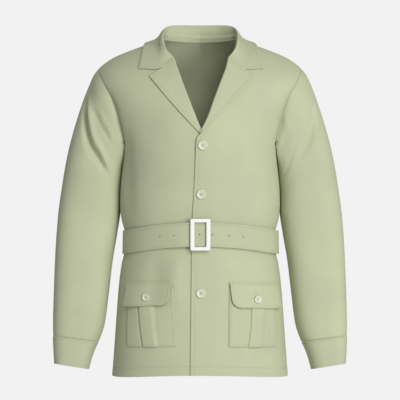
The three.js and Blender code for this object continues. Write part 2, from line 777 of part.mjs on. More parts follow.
// Solids of the library that joins and cuts
function solidOf(geometry) {
  const plain = geometry.index ? geometry.toNonIndexed() : geometry;
  const position = plain.getAttribute("position");
  const keys = new Map();
  const vertProperties = [];
  const triVerts = [];
  for (let i = 0; i < position.count; i++) {
    const point = [position.getX(i), position.getY(i), position.getZ(i)];
    const key = point.map((v) => Math.round(v * 1e4)).join();
    if (!keys.has(key)) {
      keys.set(key, keys.size);
      vertProperties.push(...point);
    }
    triVerts.push(keys.get(key));
  }
  const faces = [];
  for (let i = 0; i < triVerts.length; i += 3) {
    const [a, b, c] = triVerts.slice(i, i + 3);
    if (a !== b && b !== c && c !== a) faces.push(a, b, c);
  }
  const mesh = new wasm.Mesh({
    numProp: 3,
    vertProperties: new Float32Array(vertProperties),
    triVerts: new Uint32Array(faces),
  });
  return new wasm.Manifold(mesh);
}

function geometryOf(solid) {
  const mesh = solid.getMesh();
  const geometry = new THREE.BufferGeometry();
  const points = [];
  for (let i = 0; i < mesh.numVert; i++) {
    points.push(...mesh.vertProperties.slice(i * mesh.numProp, i * mesh.numProp + 3));
  }
  geometry.setAttribute("position", new THREE.Float32BufferAttribute(points, 3));
  geometry.setIndex([...mesh.triVerts]);
  return geometry;
}

function roundedOutline(width, height, round) {
  const shape = new THREE.Shape();
  const [x, y] = [width / 2, height / 2];
  shape.moveTo(-x + round, -y);
  shape.lineTo(x - round, -y);
  shape.absarc(x - round, -y + round, round, -Math.PI / 2, 0);
  shape.lineTo(x, y - round);
  shape.absarc(x - round, y - round, round, 0, Math.PI / 2);
  shape.lineTo(-x + round, y);
  shape.absarc(-x + round, y - round, round, Math.PI / 2, Math.PI);
  shape.lineTo(-x, -y + round);
  shape.absarc(-x + round, -y + round, round, Math.PI, (3 * Math.PI) / 2);
  return shape;
}

// Frame in front of the strap, and a bar behind it that stands on two posts above and below
function buckleGeometry() {
  const bevel = 0.9;
  const outline = roundedOutline(buckle.width - 2 * bevel, buckle.height - 2 * bevel, buckle.round);
  const windowHeight = buckle.height - 2 * buckle.bar + 2.2;
  const windowWidth = buckle.width - 2 * buckle.bar;
  outline.holes.push(roundedOutline(windowWidth + 2 * bevel, windowHeight + 2 * bevel, 1.5));
  const frame = new THREE.ExtrudeGeometry(outline, {
    depth: buckle.depth - 2 * bevel,
    bevelThickness: bevel,
    bevelSize: bevel,
    bevelSegments: 2,
    curveSegments: 3,
  });
  const back = 6.6;
  const barThickness = 2.8;
  const postHeight = (buckle.height - windowHeight) / 2 - 1.4;
  const post = new THREE.BoxGeometry(6, postHeight, back);
  const bar = new THREE.BoxGeometry(5, windowHeight + postHeight, barThickness);
  const postPlace = windowHeight / 2 + 0.3 + postHeight / 2;
  const pieces = [
    post.clone().translate(0, postPlace, -bevel - back / 2 + 0.5),
    post.clone().translate(0, -postPlace, -bevel - back / 2 + 0.5),
    bar.translate(0, 0, -bevel - back + 0.2 + barThickness / 2),
  ];
  const solid = pieces.reduce((sum, piece) => sum.add(solidOf(piece)), solidOf(frame));
  return geometryOf(solid).rotateX(Math.PI / 2);
}

function buttonGeometry({ radius, thickness }) {
  const profile = [
    [0, 0],
    [radius * 0.8, 0],
    [radius, thickness * 0.35],
    [radius, thickness * 0.7],
    [radius * 0.9, thickness],
    [radius * 0.74, thickness * 0.95],
    [radius * 0.6, thickness * 0.62],
    [0, thickness * 0.56],
  ].map(([r, h]) => new THREE.Vector2(r, h));
  const disc = solidOf(new THREE.LatheGeometry(profile, 18));
  const holePlace = radius * 0.22;
  const drill = new THREE.CylinderGeometry(radius * 0.095, radius * 0.095, thickness * 3, 6);
  const holes = [0, 1, 2, 3].map((quarter) => {
    const angle = Math.PI / 4 + (quarter * Math.PI) / 2;
    return solidOf(drill.clone().translate(holePlace * Math.cos(angle), 0, holePlace * Math.sin(angle)));
  });
  return geometryOf(holes.reduce((sum, hole) => sum.subtract(hole), disc));
}

// The patch pocket: its box pleat is a raised band in the face, over a plain hidden side
function pocketGeometry(side) {
  const size = pockets[side];
  const pleatColumns = ["pleatStart", "pleatInner", "pleatMiddle", "pleatOuter", "pleatEnd"];
  const columns = [0, 0.14, 0.28, ...pleatColumns, 0.76, 0.88, 1];
  const rows = spread(8).map((up) => {
    const t = 1 - up;
    const inner = lerp(size.inTop, size.inFoot, t);
    const outer = lerp(size.outTop, size.outFoot, t);
    const bow = 4 * t * (1 - t);
    const pleatBow = bow * (size.pleatMid - (size.pleatTop + size.pleatFoot) / 2);
    const pleat = lerp(size.pleatTop, size.pleatFoot, t) + pleatBow;
    const named = {
      pleatStart: pleat - 0.9,
      pleatInner: pleat,
      pleatMiddle: pleat + size.pleatWidth / 2,
      pleatOuter: pleat + size.pleatWidth,
      pleatEnd: pleat + size.pleatWidth + 0.9,
    };
    const open = lerp(0.25, 1, ease(0, 0.3, t));
    return columns.map((column) => {
      const x = named[column] ?? lerp(inner, outer, column);
      const share = (x - inner) / (outer - inner);
      const z = lerp(size.foot, size.top, up) - size.outDrop * share;
      const raised = ["pleatInner", "pleatMiddle", "pleatOuter"].includes(column) ? pleatHeight * open : 0;
      const fullness = 1.1 * Math.sin(Math.PI * share) * Math.sin(Math.PI * clamp(t, 0.02, 0.98));
      return { place: [x, z], face: patchFace + raised + fullness, hidden: patchFace - cloth + fullness };
    });
  });
  return layeredGeometry(side, rows);
}

// A wall given by its two faces as distances off the front
function layeredGeometry(side, rows) {
  const faces = rows.map((row) => row.map(({ place, face }) => onFront(side, ...place, face)));
  const backs = rows.map((row) => row.map(({ place, hidden }) => onFront(side, ...place, hidden)));
  const geometry = wallGeometry(faces, { outward: side });
  const points = geometry.getAttribute("position");
  const start = faces.length * faces[0].length;
  backs.flat().forEach((p, n) => points.setXYZ(start + n, p.x, p.y, p.z));
  return geometry;
}

function flapGeometry(side) {
  const size = flaps[side];
  const rows = [1, 0.93, 0.8, 0.6, 0.35, 0.14, 0].map((down) => {
    const cornerShare = clamp((down - 0.72) / 0.28, 0, 1);
    const corner = size.corner * (1 - Math.sqrt(1 - cornerShare ** 2));
    const outCorner = 3 * (1 - Math.sqrt(1 - clamp((down - 0.93) / 0.07, 0, 1) ** 2));
    const inner = size.inTop + size.inLean * down ** 1.5 + corner;
    const outer = lerp(size.outTop, size.outFoot, down) - outCorner;
    return spread(10).map((share) => {
      const x = lerp(inner, outer, share);
      const outwards = (x - size.inTop) / (size.outTop - size.inTop);
      const z = lerp(size.top, size.foot, down) - size.outDrop * outwards;
      const face = 2.4 + 3.1 * ease(0, 0.14, down) + 1.9 * down;
      return { place: [x, z], face, hidden: face - cloth };
    });
  });
  return layeredGeometry(side, rows);
}

// Materials of the three finishes
const clothMaterial = new THREE.MeshStandardMaterial({ color: colours.cloth, roughness: 0.85 });
const buckleMaterial = new THREE.MeshStandardMaterial({ color: colours.buckle, roughness: 0.3 });
const buttonMaterial = new THREE.MeshStandardMaterial({ color: colours.button, roughness: 0.2 });

const blazer = new THREE.Group();

function addPiece(name, geometry, material = clothMaterial) {
  const mesh = new THREE.Mesh(geometry, material);
  mesh.name = name;
  blazer.add(mesh);
  return mesh;
}

// Seats a button on a front at a distance off its face, its axis along the face's normal
function addButton(name, side, x, z, distance, size) {
  const mesh = addPiece(name, buttonGeometry(size), buttonMaterial);
  mesh.position.copy(onFront(side, x, z, distance));
  mesh.quaternion.setFromUnitVectors(vector(0, 1, 0), frontNormal(side, x, z));
}

addPiece("front_left", frontGeometry(1));
addPiece("front_right", frontGeometry(-1));
addPiece("back", backGeometry());
for (const [side, word] of [[1, "left"], [-1, "right"]]) {
  addPiece(`sleeve_${word}`, sleeveGeometry(side));
  addPiece(`cuff_${word}`, cuffGeometry(side));
  addPiece(`lapel_${word}`, lapelGeometry(side));
  addPiece(`pocket_${word}`, pocketGeometry(side));
  addPiece(`pocket_flap_${word}`, flapGeometry(side));
  const flap = flaps[side];
  const down = (flap.top - flap.buttonZ) / (flap.top - flap.foot);
  const seat = 5.5 + 1.9 * down + seamGap;
  addButton(`flap_button_${word}`, side, flap.buttonX, flap.buttonZ, seat, flapButton);
}
addPiece("collar", collarGeometry());
frontButtonPlaces.forEach(({ x, z }, n) => {
  addButton(`front_button_${n + 1}`, 1, x, z, seamGap, frontButton);
});
addPiece("belt", beltGeometry());

// The buckle leans with the strap that passes through it
const buckleMesh = addPiece("buckle", buckleGeometry(), buckleMaterial);
const [strapFoot, strapTop] = [strapPoint(360, -1), strapPoint(360, 1)];
const strapLean = Math.atan2(strapTop.y - strapFoot.y, strapTop.z - strapFoot.z);
const strapMiddle = strapFoot.clone().lerp(strapTop, (buckle.z - strapFoot.z) / (strapTop.z - strapFoot.z));
buckleMesh.rotation.x = -strapLean;
buckleMesh.position.set(buckle.x, strapMiddle.y - 1.5, buckle.z);

export default blazer;
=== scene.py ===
import math
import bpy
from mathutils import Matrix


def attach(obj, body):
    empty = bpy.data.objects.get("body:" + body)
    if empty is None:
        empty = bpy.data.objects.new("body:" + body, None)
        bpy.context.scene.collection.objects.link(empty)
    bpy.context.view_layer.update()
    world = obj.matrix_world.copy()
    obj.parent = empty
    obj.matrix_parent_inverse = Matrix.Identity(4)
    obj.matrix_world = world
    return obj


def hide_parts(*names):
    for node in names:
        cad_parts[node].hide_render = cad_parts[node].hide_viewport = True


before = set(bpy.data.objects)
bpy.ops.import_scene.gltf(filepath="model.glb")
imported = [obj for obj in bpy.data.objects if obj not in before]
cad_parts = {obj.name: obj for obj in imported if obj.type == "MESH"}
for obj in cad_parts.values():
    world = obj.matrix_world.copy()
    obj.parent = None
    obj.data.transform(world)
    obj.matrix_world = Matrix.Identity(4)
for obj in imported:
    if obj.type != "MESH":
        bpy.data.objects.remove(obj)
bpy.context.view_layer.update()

from types import SimpleNamespace

import bmesh
import bpy
import numpy as np
from mathutils import Matrix, Vector

# A belted safari blazer in sage cotton twill, filled out as worn with nobody in it.
# Sizes below are millimetres in the garment's own frame: its left side is +X, the front faces -Y,
# up is +Z, and the origin is in the middle of the neck opening. Blender itself gets metres.
# side is 1 for the garment's left and -1 for its right.
mm = 0.001
sides = {1: "left", -1: "right"}


# small helpers for curves and tables

def smooth(low, high, value):
    t = np.clip((np.asarray(value, float) - low) / (high - low), 0, 1)
    return t * t * (3 - 2 * t)


def blend(a, b, t):
    return a + (b - a) * t


def hump(distance, width):
    return np.exp(-(distance / width) ** 2)


def stack(x, y, z):
    return np.stack(np.broadcast_arrays(x, y, z), axis=-1).astype(float)


def unit(v):
    return v / np.maximum(np.linalg.norm(v, axis=-1, keepdims=True), 1e-9)


def curveThrough(rows):
    # smooth curve through rows of (x, y) that never swings past them
    x, y = np.array(rows, float).T
    step = np.diff(y) / np.diff(x)
    product, total = step[1:] * step[:-1], step[1:] + step[:-1]
    inner = np.divide(2 * product, total, out=np.zeros_like(product), where=product > 0)
    slope = np.concatenate(([step[0]], inner, [step[-1]]))

    def at(value):
        value = np.clip(np.asarray(value, float), x[0], x[-1])
        i = np.clip(np.searchsorted(x, value, side="right") - 1, 0, len(x) - 2)
        width = x[i + 1] - x[i]
        t = (value - x[i]) / width
        h = (1 - t) ** 2
        return (y[i] * h * (1 + 2 * t) + slope[i] * width * t * h
                + y[i + 1] * t * t * (3 - 2 * t) + slope[i + 1] * width * t * t * (t - 1))
    return at


def columns(rows):
    # one curve for each column after the first
    return [curveThrough([(row[0], row[k]) for row in rows]) for k in range(1, len(rows[0]))]


def gathered(count, places=()):
    # shares from 0 to 1 that lie closer together near each (share, width, weight)
    fine = np.linspace(0, 1, 4001)
    density = 1 + sum((weight * hump(fine - at, width) for at, width, weight in places), 0 * fine)
    total = np.concatenate(([0], np.cumsum((density[1:] + density[:-1]) / 2)))
    return np.interp(np.linspace(0, total[-1], count + 1), total, fine)


def uneven(a, b, size, seed):
    # slow irregular swell of worn cloth, the same on every run
    random = np.random.default_rng(seed)
    total = 0
    for _ in range(6):
        angle, phase, length = random.uniform((0, 0, 0.7), (3.14, 6.28, 1.7))
        total = total + np.sin((a * math.cos(angle) + b * math.sin(angle)) * 6.283 / (length * size) + phase)
    return total / 6


def creaseDepth(creases, a, b):
    # each crease runs from one place to another, bows sideways, fades at both ends and
    # may push up a softer ridge on one side: lean is 1 or -1 for the side, 0 for none
    total = 0
    for fromA, fromB, toA, toB, width, depth, bow, lean in creases:
        runA, runB = toA - fromA, toB - fromB
        length = math.hypot(runA, runB)
        t = ((a - fromA) * runA + (b - fromB) * runB) / length ** 2
        off = ((a - fromA) * runB - (b - fromB) * runA) / length - bow * 4 * t * (1 - t)
        wide = width * (0.85 + 0.3 * np.clip(t, 0, 1))
        lasting = smooth(-0.15, 0.3, t) * (1 - smooth(0.65, 1.1, t))
        profile = hump(off, wide)
        if lean:
            profile = profile - 0.55 * hump(off - lean * 1.75 * wide, 1.1 * wide)
        total = total + depth * profile * lasting
    return total


# the filled-out body that all the cloth lies on

torso = {
    "hem": -738.5, "underarm": -252, "shoulderWidth": 441, "neckWidth": 160, "neckDip": 1.5,
    "frontRise": 13, "overlapLift": 2.7, "seamGap": 0.4, "ridgeY": 6, "ridgeRoundness": 0.58,
    # height, half width, depth to the front and to the back, squareness
    "rings": [
        (-741, 193, 135, 127, 2.25), (-681, 188.5, 134, 126, 2.25), (-610, 183.5, 131, 120, 2.25),
        (-540, 178, 128, 112, 2.25), (-492, 171.5, 125.5, 105, 2.25), (-470, 166.5, 121, 99.5, 2.25),
        (-426, 165.4, 120.5, 98, 2.25), (-403, 171, 125.5, 102.5, 2.25), (-385, 174.2, 128, 105, 2.25),
        (-362, 175.6, 130.5, 108, 2.3), (-330, 174.8, 133.5, 111.5, 2.3), (-298, 172, 137.5, 116, 2.3),
        (-268, 169.8, 139.8, 119.5, 2.3), (-252, 170.6, 140.5, 121, 2.3), (-230, 178, 140.5, 123, 2.25),
        (-197, 191, 139, 125, 2.2), (-163, 205, 136, 125, 2.35), (-132, 216, 131, 123, 2.5),
        (-100, 234, 125, 118, 2.6), (-66, 250, 118, 111, 2.6), (-30, 250, 112, 106, 2.6),
        (40, 250, 106, 100, 2.6),
    ],
    # out from the neck, height of the shoulder line, and how far below it the cloth rounds over
    "shoulderRidge": [
        (0, 30, 150), (40, 17, 150), (80, 0, 146), (121, -14, 136), (156, -27, 124),
        (189, -41, 110), (205, -51, 102), (220.5, -63, 96), (250, -92, 90),
    ],
}
halfWidth, frontDepth, backDepth, squareness = columns(torso["rings"])
ridgeLevel, ridgeReach = columns(torso["shoulderRidge"])

# from x, z to x, z, width, depth, bow, lean
frontCreases = [
    (-156, -205, -150, -395, 12, 9, 2, 0),
    (157, -256, 156, -405, 8, 3.6, -1, -1),
    (-49, -470, -52, -600, 20, -3.8, 3, 0),
    (-92, -478, -100, -600, 22, 4, 0, 0),
    (84, -478, 92, -530, 22, 1.8, 0, 0),
]
backCreases = [
    (-86, -300, -78, -405, 24, 3, 4, 1),
    (84, -310, 76, -405, 24, 3, -4, -1),
    (-60, -480, -68, -620, 26, 2.8, 3, 0),
    (66, -480, 74, -610, 26, 2.8, -3, 0),
    (-150, -275, -146, -400, 12, 3, 2, 1),
    (150, -275, 146, -400, 12, 3, -2, -1),
]


def ringDepth(x, z, facing):
    share = np.clip(np.abs(x) / halfWidth(z), 0, 1)
    power = squareness(z)
    front = frontDepth(z) - creaseDepth(frontCreases, x, z) + 0.5 * uneven(x, z, 150, 3)
    back = backDepth(z) - creaseDepth(backCreases, x, z) + 0.7 * uneven(x, z, 140, 5)
    return facing * np.where(np.asarray(facing) < 0, front, back) * (1 - share ** power) ** (1 / power)


def torsoDepth(x, z, facing):
    drop = (ridgeLevel(np.abs(x)) - z) / ridgeReach(np.abs(x))
    left = np.clip(1 - drop, 0, 1)
    share = (1 - left * left) ** torso["ridgeRoundness"]
    return torso["ridgeY"] + (ringDepth(x, z, facing) - torso["ridgeY"]) * share


def torsoPoint(turn, z, facing):
    x = halfWidth(z) * np.sin(turn)
    return stack(x, torsoDepth(x, z, facing), z)


def turnAt(x, z):
    return np.arcsin(np.clip(x / halfWidth(z), -1, 1))


def torsoField(p):
    # zero on the body, negative within it
    x, y, z = p[..., 0], p[..., 1], p[..., 2]
    facing = np.where(y < torso["ridgeY"], -1, 1)
    share = (y - torso["ridgeY"]) / (ringDepth(x, z, facing) - torso["ridgeY"])
    drop = (ridgeLevel(np.abs(x)) - z) / ridgeReach(np.abs(x))
    left = np.maximum(0, 1 - drop)
    return np.abs(share) ** (1 / torso["ridgeRoundness"]) + left * left - 1


def laidOff(p, distance):
    # moves points straight off the body until they lie that far from it
    p = p.copy()
    for _ in range(8):
        slope = np.stack([(torsoField(p + step) - torsoField(p - step)) for step in np.eye(3) * 0.5], axis=-1)
        size = np.linalg.norm(slope, axis=-1, keepdims=True)
        p += slope / size * np.clip(distance - torsoField(p)[..., None] / size, -6, 6)
    return p


def frontLift(side, x, z):
    # the left front lies over the right one, a little prouder over the foot of the lapel
    if side < 0:
        return 0 * x
    return (torso["overlapLift"] + 2.8 * hump(z + 213, 42)) * (1 - smooth(24, 84, x))


def frontPoint(side, x, z):
    return stack(side * x, torsoDepth(side * x, z, -1) - frontLift(side, x, z), z)


def frontNormal(side, x, z):
    step = 1.5
    across = frontPoint(side, x + step, z) - frontPoint(side, x - step, z)
    up = frontPoint(side, x, z + step) - frontPoint(side, x, z - step)
    return unit(np.cross(across, up)) * side


def onFront(side, x, z, distance):
    x, z = np.asarray(x, float), np.asarray(z, float)
    return frontPoint(side, x, z) + frontNormal(side, x, z) * np.asarray(distance)[..., None]


def lengthsAlong(points):
    steps = np.linalg.norm(np.diff(points, axis=0), axis=-1)
    return np.concatenate((0 * steps[:1], np.cumsum(steps, axis=0)))


def armholeShare(rows, facing):
    # turn and level at a share of the armhole's length, from the underarm to the shoulder
    at = np.linspace(0, len(rows) - 1, 401)
    turn = np.radians(curveThrough([(i, row[0]) for i, row in enumerate(rows)])(at))
    level = curveThrough([(i, row[1]) for i, row in enumerate(rows)])(at)
    length = lengthsAlong(torsoPoint(turn, level, facing))
    share = length / length[-1]
    return lambda t: (np.interp(t, share, turn), np.interp(t, share, level))


# sideways turn in degrees and height, from the underarm to the shoulder
armholes = {
    "front": [(90, -252), (83, -251.8), (76.5, -249.6), (72, -243.5), (68.4, -230), (64.4, -197),
              (61.9, -164), (62.9, -132), (63.4, -104), (61.9, -63)],
    "back": [(90, -252), (80, -251), (73, -246), (69, -236), (66.5, -215), (65.5, -185),
             (65.5, -150), (65.5, -115), (64, -90), (61.9, -63)],
}
frontArmhole = armholeShare(armholes["front"], -1)
backArmhole = armholeShare(armholes["back"], 1)


# materials

def newMaterial(name):
    material = bpy.data.materials.new(name)
    material.use_nodes = True
    tree = material.node_tree
    return material, tree, tree.nodes["Principled BSDF"]


def addNode(tree, kind, settings=None, **inputs):
    made = tree.nodes.new("ShaderNode" + kind)
    for key, value in (settings or {}).items():
        setattr(made, key, value)
    for key, value in inputs.items():
        socket = made.inputs[int(key[1:]) if key[1:].isdigit() else key.replace("_", " ")]
        if isinstance(value, bpy.types.NodeSocket):
            tree.links.new(value, socket)
        else:
            socket.default_value = value
    return made


def mixColour(tree, mode, factor, first, second):
    mix = addNode(tree, "Mix", {"data_type": "RGBA", "blend_type": mode})
    for socket, value in ((mix.inputs[0], factor), (mix.inputs[6], first), (mix.inputs[7], second)):
        if isinstance(value, bpy.types.NodeSocket):
            tree.links.new(value, socket)
        else:
            socket.default_value = value
    return mix.outputs[2]


twill = {
    # the darkest colour here is painted shade along seams, stitch grooves and pocket edges
    "colour": (0.515, 0.545, 0.365, 1), "deepColour": (0.455, 0.485, 0.325, 1), "seamShadeColour": (0.30, 0.32, 0.22, 1),
    "wornColour": (0.585, 0.61, 0.43, 1), "ribWidth": 0.95, "ribHeight": 0.05, "roughness": 0.84,
    "sheen": 0.18, "sheenColour": (0.86, 0.9, 0.74, 1), "sheenRoughness": 0.5, "shine": 0.25,
}


def makeTwill():
    material, tree, shader = newMaterial("sage cotton twill")
    weave = addNode(tree, "UVMap", {"uv_map": "cloth"}).outputs[0]
    place = addNode(tree, "TexCoord").outputs["Object"]
    bands = 0.314 / (twill["ribWidth"] * mm)
    ribs = addNode(tree, "TexWave", {"wave_type": "BANDS", "bands_direction": "X"},
                   Vector=addNode(tree, "Mapping", Vector=weave, Rotation=(0, 0, math.radians(27))).outputs[0],
                   Scale=bands, Distortion=0.6, Detail=1.0).outputs["Fac"]
    yarns = addNode(tree, "TexWave", {"wave_type": "BANDS", "bands_direction": "Y"},
                    Vector=weave, Scale=bands * 1.9, Distortion=0.8, Detail=1.0).outputs["Fac"]
    slubs = addNode(tree, "TexNoise", Vector=addNode(tree, "Mapping", Vector=weave, Scale=(180, 1500, 1)).outputs[0],
                    Scale=1.0, Detail=3.0, Roughness=0.6).outputs["Fac"]
    clouds = addNode(tree, "TexNoise", Vector=place, Scale=11.0, Detail=4.0, Roughness=0.55).outputs["Fac"]
    rubbed = addNode(tree, "TexNoise", Vector=place, Scale=85.0, Detail=3.0, Roughness=0.6).outputs["Fac"]
    tone = addNode(tree, "MapRange", Value=clouds, From_Min=0.3, From_Max=0.7, To_Min=0.0, To_Max=0.75).outputs[0]
    colour = mixColour(tree, "MIX", tone, twill["colour"], twill["deepColour"])
    grain = addNode(tree, "Math", {"operation": "MULTIPLY"}, _0=ribs, _1=yarns).outputs[0]
    ribTone = addNode(tree, "MapRange", Value=grain, To_Min=0.0, To_Max=0.16).outputs[0]
    colour = mixColour(tree, "MIX", ribTone, colour, twill["wornColour"])
    slubTone = addNode(tree, "MapRange", Value=slubs, From_Min=0.35, From_Max=0.75, To_Min=0.0, To_Max=0.22).outputs[0]
    colour = mixColour(tree, "MULTIPLY", slubTone, colour, (0.86, 0.87, 0.84, 1))
    # painted shade: the cloth darkens along seams, under the stitching and round the pocket edges
    stitched = addNode(tree, "Attribute", {"attribute_name": "stitched"}).outputs["Fac"]
    worn = addNode(tree, "Attribute", {"attribute_name": "worn"}).outputs["Fac"]
    colour = mixColour(tree, "MIX", addNode(tree, "Math", {"operation": "MULTIPLY"}, _0=stitched, _1=0.55).outputs[0],
                       colour, twill["seamShadeColour"])
    wear = addNode(tree, "Math", {"operation": "MULTIPLY"}, _0=worn, _1=rubbed).outputs[0]
    colour = mixColour(tree, "MIX", wear, colour, twill["wornColour"])
    tree.links.new(colour, shader.inputs["Base Color"])
    rough = addNode(tree, "MapRange", Value=rubbed, To_Min=twill["roughness"] - 0.06, To_Max=twill["roughness"] + 0.07)
    tree.links.new(rough.outputs[0], shader.inputs["Roughness"])
    shader.inputs["Specular IOR Level"].default_value = twill["shine"]
    shader.inputs["Sheen Weight"].default_value = twill["sheen"]
    shader.inputs["Sheen Roughness"].default_value = twill["sheenRoughness"]
    shader.inputs["Sheen Tint"].default_value = twill["sheenColour"]
    ribBump = addNode(tree, "Bump", Strength=0.6, Distance=twill["ribHeight"] * mm, Height=grain)
    slubBump = addNode(tree, "Bump", Strength=0.5, Distance=0.05 * mm, Height=slubs, Normal=ribBump.outputs[0])
    handle = addNode(tree, "Bump", Strength=0.35, Distance=0.5 * mm, Height=rubbed, Normal=slubBump.outputs[0])
    tree.links.new(handle.outputs[0], shader.inputs["Normal"])
    return material


def makeThread():
    material, tree, shader = newMaterial("sage sewing thread")
    place = addNode(tree, "TexCoord").outputs["Object"]
    twist = addNode(tree, "TexNoise", Vector=place, Scale=2400.0, Detail=2.0).outputs["Fac"]
    colour = mixColour(tree, "MIX", twist, (0.44, 0.47, 0.32, 1), (0.58, 0.61, 0.43, 1))
    tree.links.new(colour, shader.inputs["Base Color"])
    shader.inputs["Roughness"].default_value = 0.6
    shader.inputs["Sheen Weight"].default_value = 0.2
    tree.links.new(addNode(tree, "Bump", Strength=0.5, Distance=0.05 * mm, Height=twist).outputs[0], shader.inputs["Normal"])
    return material


def makePearl():
    material, tree, shader = newMaterial("pearly button resin")
    place = addNode(tree, "TexCoord").outputs["Object"]
    swirl = addNode(tree, "TexNoise", Vector=place, Scale=120.0, Detail=4.0, Distortion=1.6).outputs["Fac"]
    sky = mixColour(tree, "MIX", swirl, (0.56, 0.60, 0.43, 1), (0.76, 0.79, 0.63, 1))
    # the resin turns a cooler green where the surface is seen side-on: a painted pearly sheen
    facing = addNode(tree, "LayerWeight", Blend=0.35).outputs["Facing"]
    colour = mixColour(tree, "MIX", addNode(tree, "Math", {"operation": "MULTIPLY"}, _0=facing, _1=0.35).outputs[0],
                       sky, (0.62, 0.70, 0.58, 1))
    tree.links.new(colour, shader.inputs["Base Color"])
    shader.inputs["Roughness"].default_value = 0.22
    shader.inputs["Coat Weight"].default_value = 0.6
    shader.inputs["Coat Roughness"].default_value = 0.08
    scuffs = addNode(tree, "TexNoise", Vector=place, Scale=1500.0, Detail=2.0).outputs["Fac"]
    tree.links.new(addNode(tree, "Bump", Strength=0.15, Distance=0.03 * mm, Height=scuffs).outputs[0], shader.inputs["Normal"])
    return material


def makeBuckleWhite():
    material, tree, shader = newMaterial("white moulded buckle")
    place = addNode(tree, "TexCoord").outputs["Object"]
    scuffs = addNode(tree, "TexNoise", Vector=place, Scale=260.0, Detail=5.0, Roughness=0.7).outputs["Fac"]
    colour = mixColour(tree, "MIX", scuffs, (0.90, 0.90, 0.885, 1), (0.94, 0.94, 0.93, 1))
    tree.links.new(colour, shader.inputs["Base Color"])
    rough = addNode(tree, "MapRange", Value=scuffs, From_Min=0.3, From_Max=0.7, To_Min=0.24, To_Max=0.42).outputs[0]
    tree.links.new(rough, shader.inputs["Roughness"])
    shader.inputs["Coat Weight"].default_value = 0.25
    tree.links.new(addNode(tree, "Bump", Strength=0.2, Distance=0.04 * mm, Height=scuffs).outputs[0], shader.inputs["Normal"])
    return material


def makeEyeletShade():
    # a near-black finish for the discs in the eyelets: painted shade where a hole would be
    material, tree, shader = newMaterial("painted shade in the eyelets")
    place = addNode(tree, "TexCoord").outputs["Object"]
    fuzz = addNode(tree, "TexNoise", Vector=place, Scale=1800.0, Detail=2.0).outputs["Fac"]
    tree.links.new(mixColour(tree, "MIX", fuzz, (0.02, 0.022, 0.015, 1), (0.06, 0.065, 0.045, 1)),
                   shader.inputs["Base Color"])
    shader.inputs["Roughness"].default_value = 0.9
    return material


twillCloth, threadFinish, pearlFinish = makeTwill(), makeThread(), makePearl()
buckleFinish, eyeletShadeFinish = makeBuckleWhite(), makeEyeletShade()
print("materials made")


# making cloth and thread

def link(mesh, name, material, node=None):
    piece = bpy.data.objects.new(name, mesh)
    bpy.context.scene.collection.objects.link(piece)
    if not mesh.materials:
        mesh.materials.append(material)
    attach(piece, "root")
    if node:
        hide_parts(node)
    return piece


def measure(cloth):
    # normals, and each point's distance over the cloth from the four edges
    p = cloth.point
    across = np.concatenate([p[:, -2:-1], p, p[:, 1:2]], axis=1) if cloth.tube else p
    du = across[:, 2:] - across[:, :-2] if cloth.tube else np.gradient(p, axis=1)
    cloth.normal = unit(np.cross(du, np.gradient(p, axis=0)))
    cloth.fromFoot = lengthsAlong(p)
    cloth.fromTop = cloth.fromFoot[-1:] - cloth.fromFoot
    cloth.fromLeft = lengthsAlong(p.swapaxes(0, 1)).T
    cloth.fromRight = cloth.fromLeft[:, -1:] - cloth.fromLeft
    return cloth


clothShell = {"thickness": 1.7, "edgeRound": 0.4}


def layCloth(name, node, place, across, along, near=((), ()), tube=False, relief=None, weave=None, sewn=(), thickness=None):
    # a grid is laid out by place(u, v), pressed by relief, then gets its thickness and round edges
    bm = bmesh.new()
    bmesh.ops.create_grid(bm, x_segments=across, y_segments=along, size=0.5)
    mesh = bpy.data.meshes.new(name)
    bm.to_mesh(mesh)
    bm.free()
    flat = np.empty(len(mesh.vertices) * 3)
    mesh.vertices.foreach_get("co", flat)
    column = np.rint((flat[0::3] + 0.5) * across).astype(int)
    row = np.rint((flat[1::3] + 0.5) * along).astype(int)
    u, v = np.meshgrid(gathered(across, near[0]), gathered(along, near[1]))
    cloth = measure(SimpleNamespace(name=name, u=u, v=v, tube=tube, point=place(u, v)))
    cloth.stitched, cloth.worn = 0 * u, 0 * u
    if relief:
        cloth.point = cloth.point + cloth.normal * relief(cloth)[..., None]
        measure(cloth)
    mesh.vertices.foreach_set("co", (cloth.point[row, column] * mm).ravel())
    weaveU, weaveV = weave(cloth) if weave else (cloth.fromLeft, cloth.fromFoot)
    uv = np.stack((weaveU, weaveV), axis=-1)[row, column] * mm
    corner = np.empty(len(mesh.loops), int)
    mesh.loops.foreach_get("vertex_index", corner)
    mesh.uv_layers.new(name="cloth").data.foreach_set("uv", uv[corner].ravel())
    for key in ("stitched", "worn"):
        values = np.clip(getattr(cloth, key), 0, 1)[row, column]
        mesh.attributes.new(key, "FLOAT", "POINT").data.foreach_set("value", values)
    if tube:
        bm = bmesh.new()
        bm.from_mesh(mesh)
        bmesh.ops.remove_doubles(bm, verts=bm.verts, dist=0.01 * mm)
        bm.to_mesh(mesh)
        bm.free()
    mesh.shade_smooth()
    cloth.piece = link(mesh, name, twillCloth, node)
    wall = cloth.piece.modifiers.new("cloth thickness", "SOLIDIFY")
    wall.thickness, wall.offset = (thickness or clothShell["thickness"]) * mm, -1
    rounded = cloth.piece.modifiers.new("round edges", "BEVEL")
    rounded.width, rounded.segments = clothShell["edgeRound"] * mm, 2
    rounded.limit_method, rounded.angle_limit = "ANGLE", math.radians(50)
    cloth.threads = [sewThread(f"{name}Stitches", [insetLine(cloth, *line) for line in sewn])] if sewn else []
    area = np.linalg.norm(np.cross(cloth.point[1:, :-1] - cloth.point[:-1, :-1],
                                   cloth.point[:-1, 1:] - cloth.point[:-1, :-1]), axis=-1).sum() * mm * mm
    print(f"{name}: {cloth.fromLeft[:, -1].max():.0f} x {cloth.fromFoot[-1].max():.0f} mm, {area:.4f} m2")
    return cloth


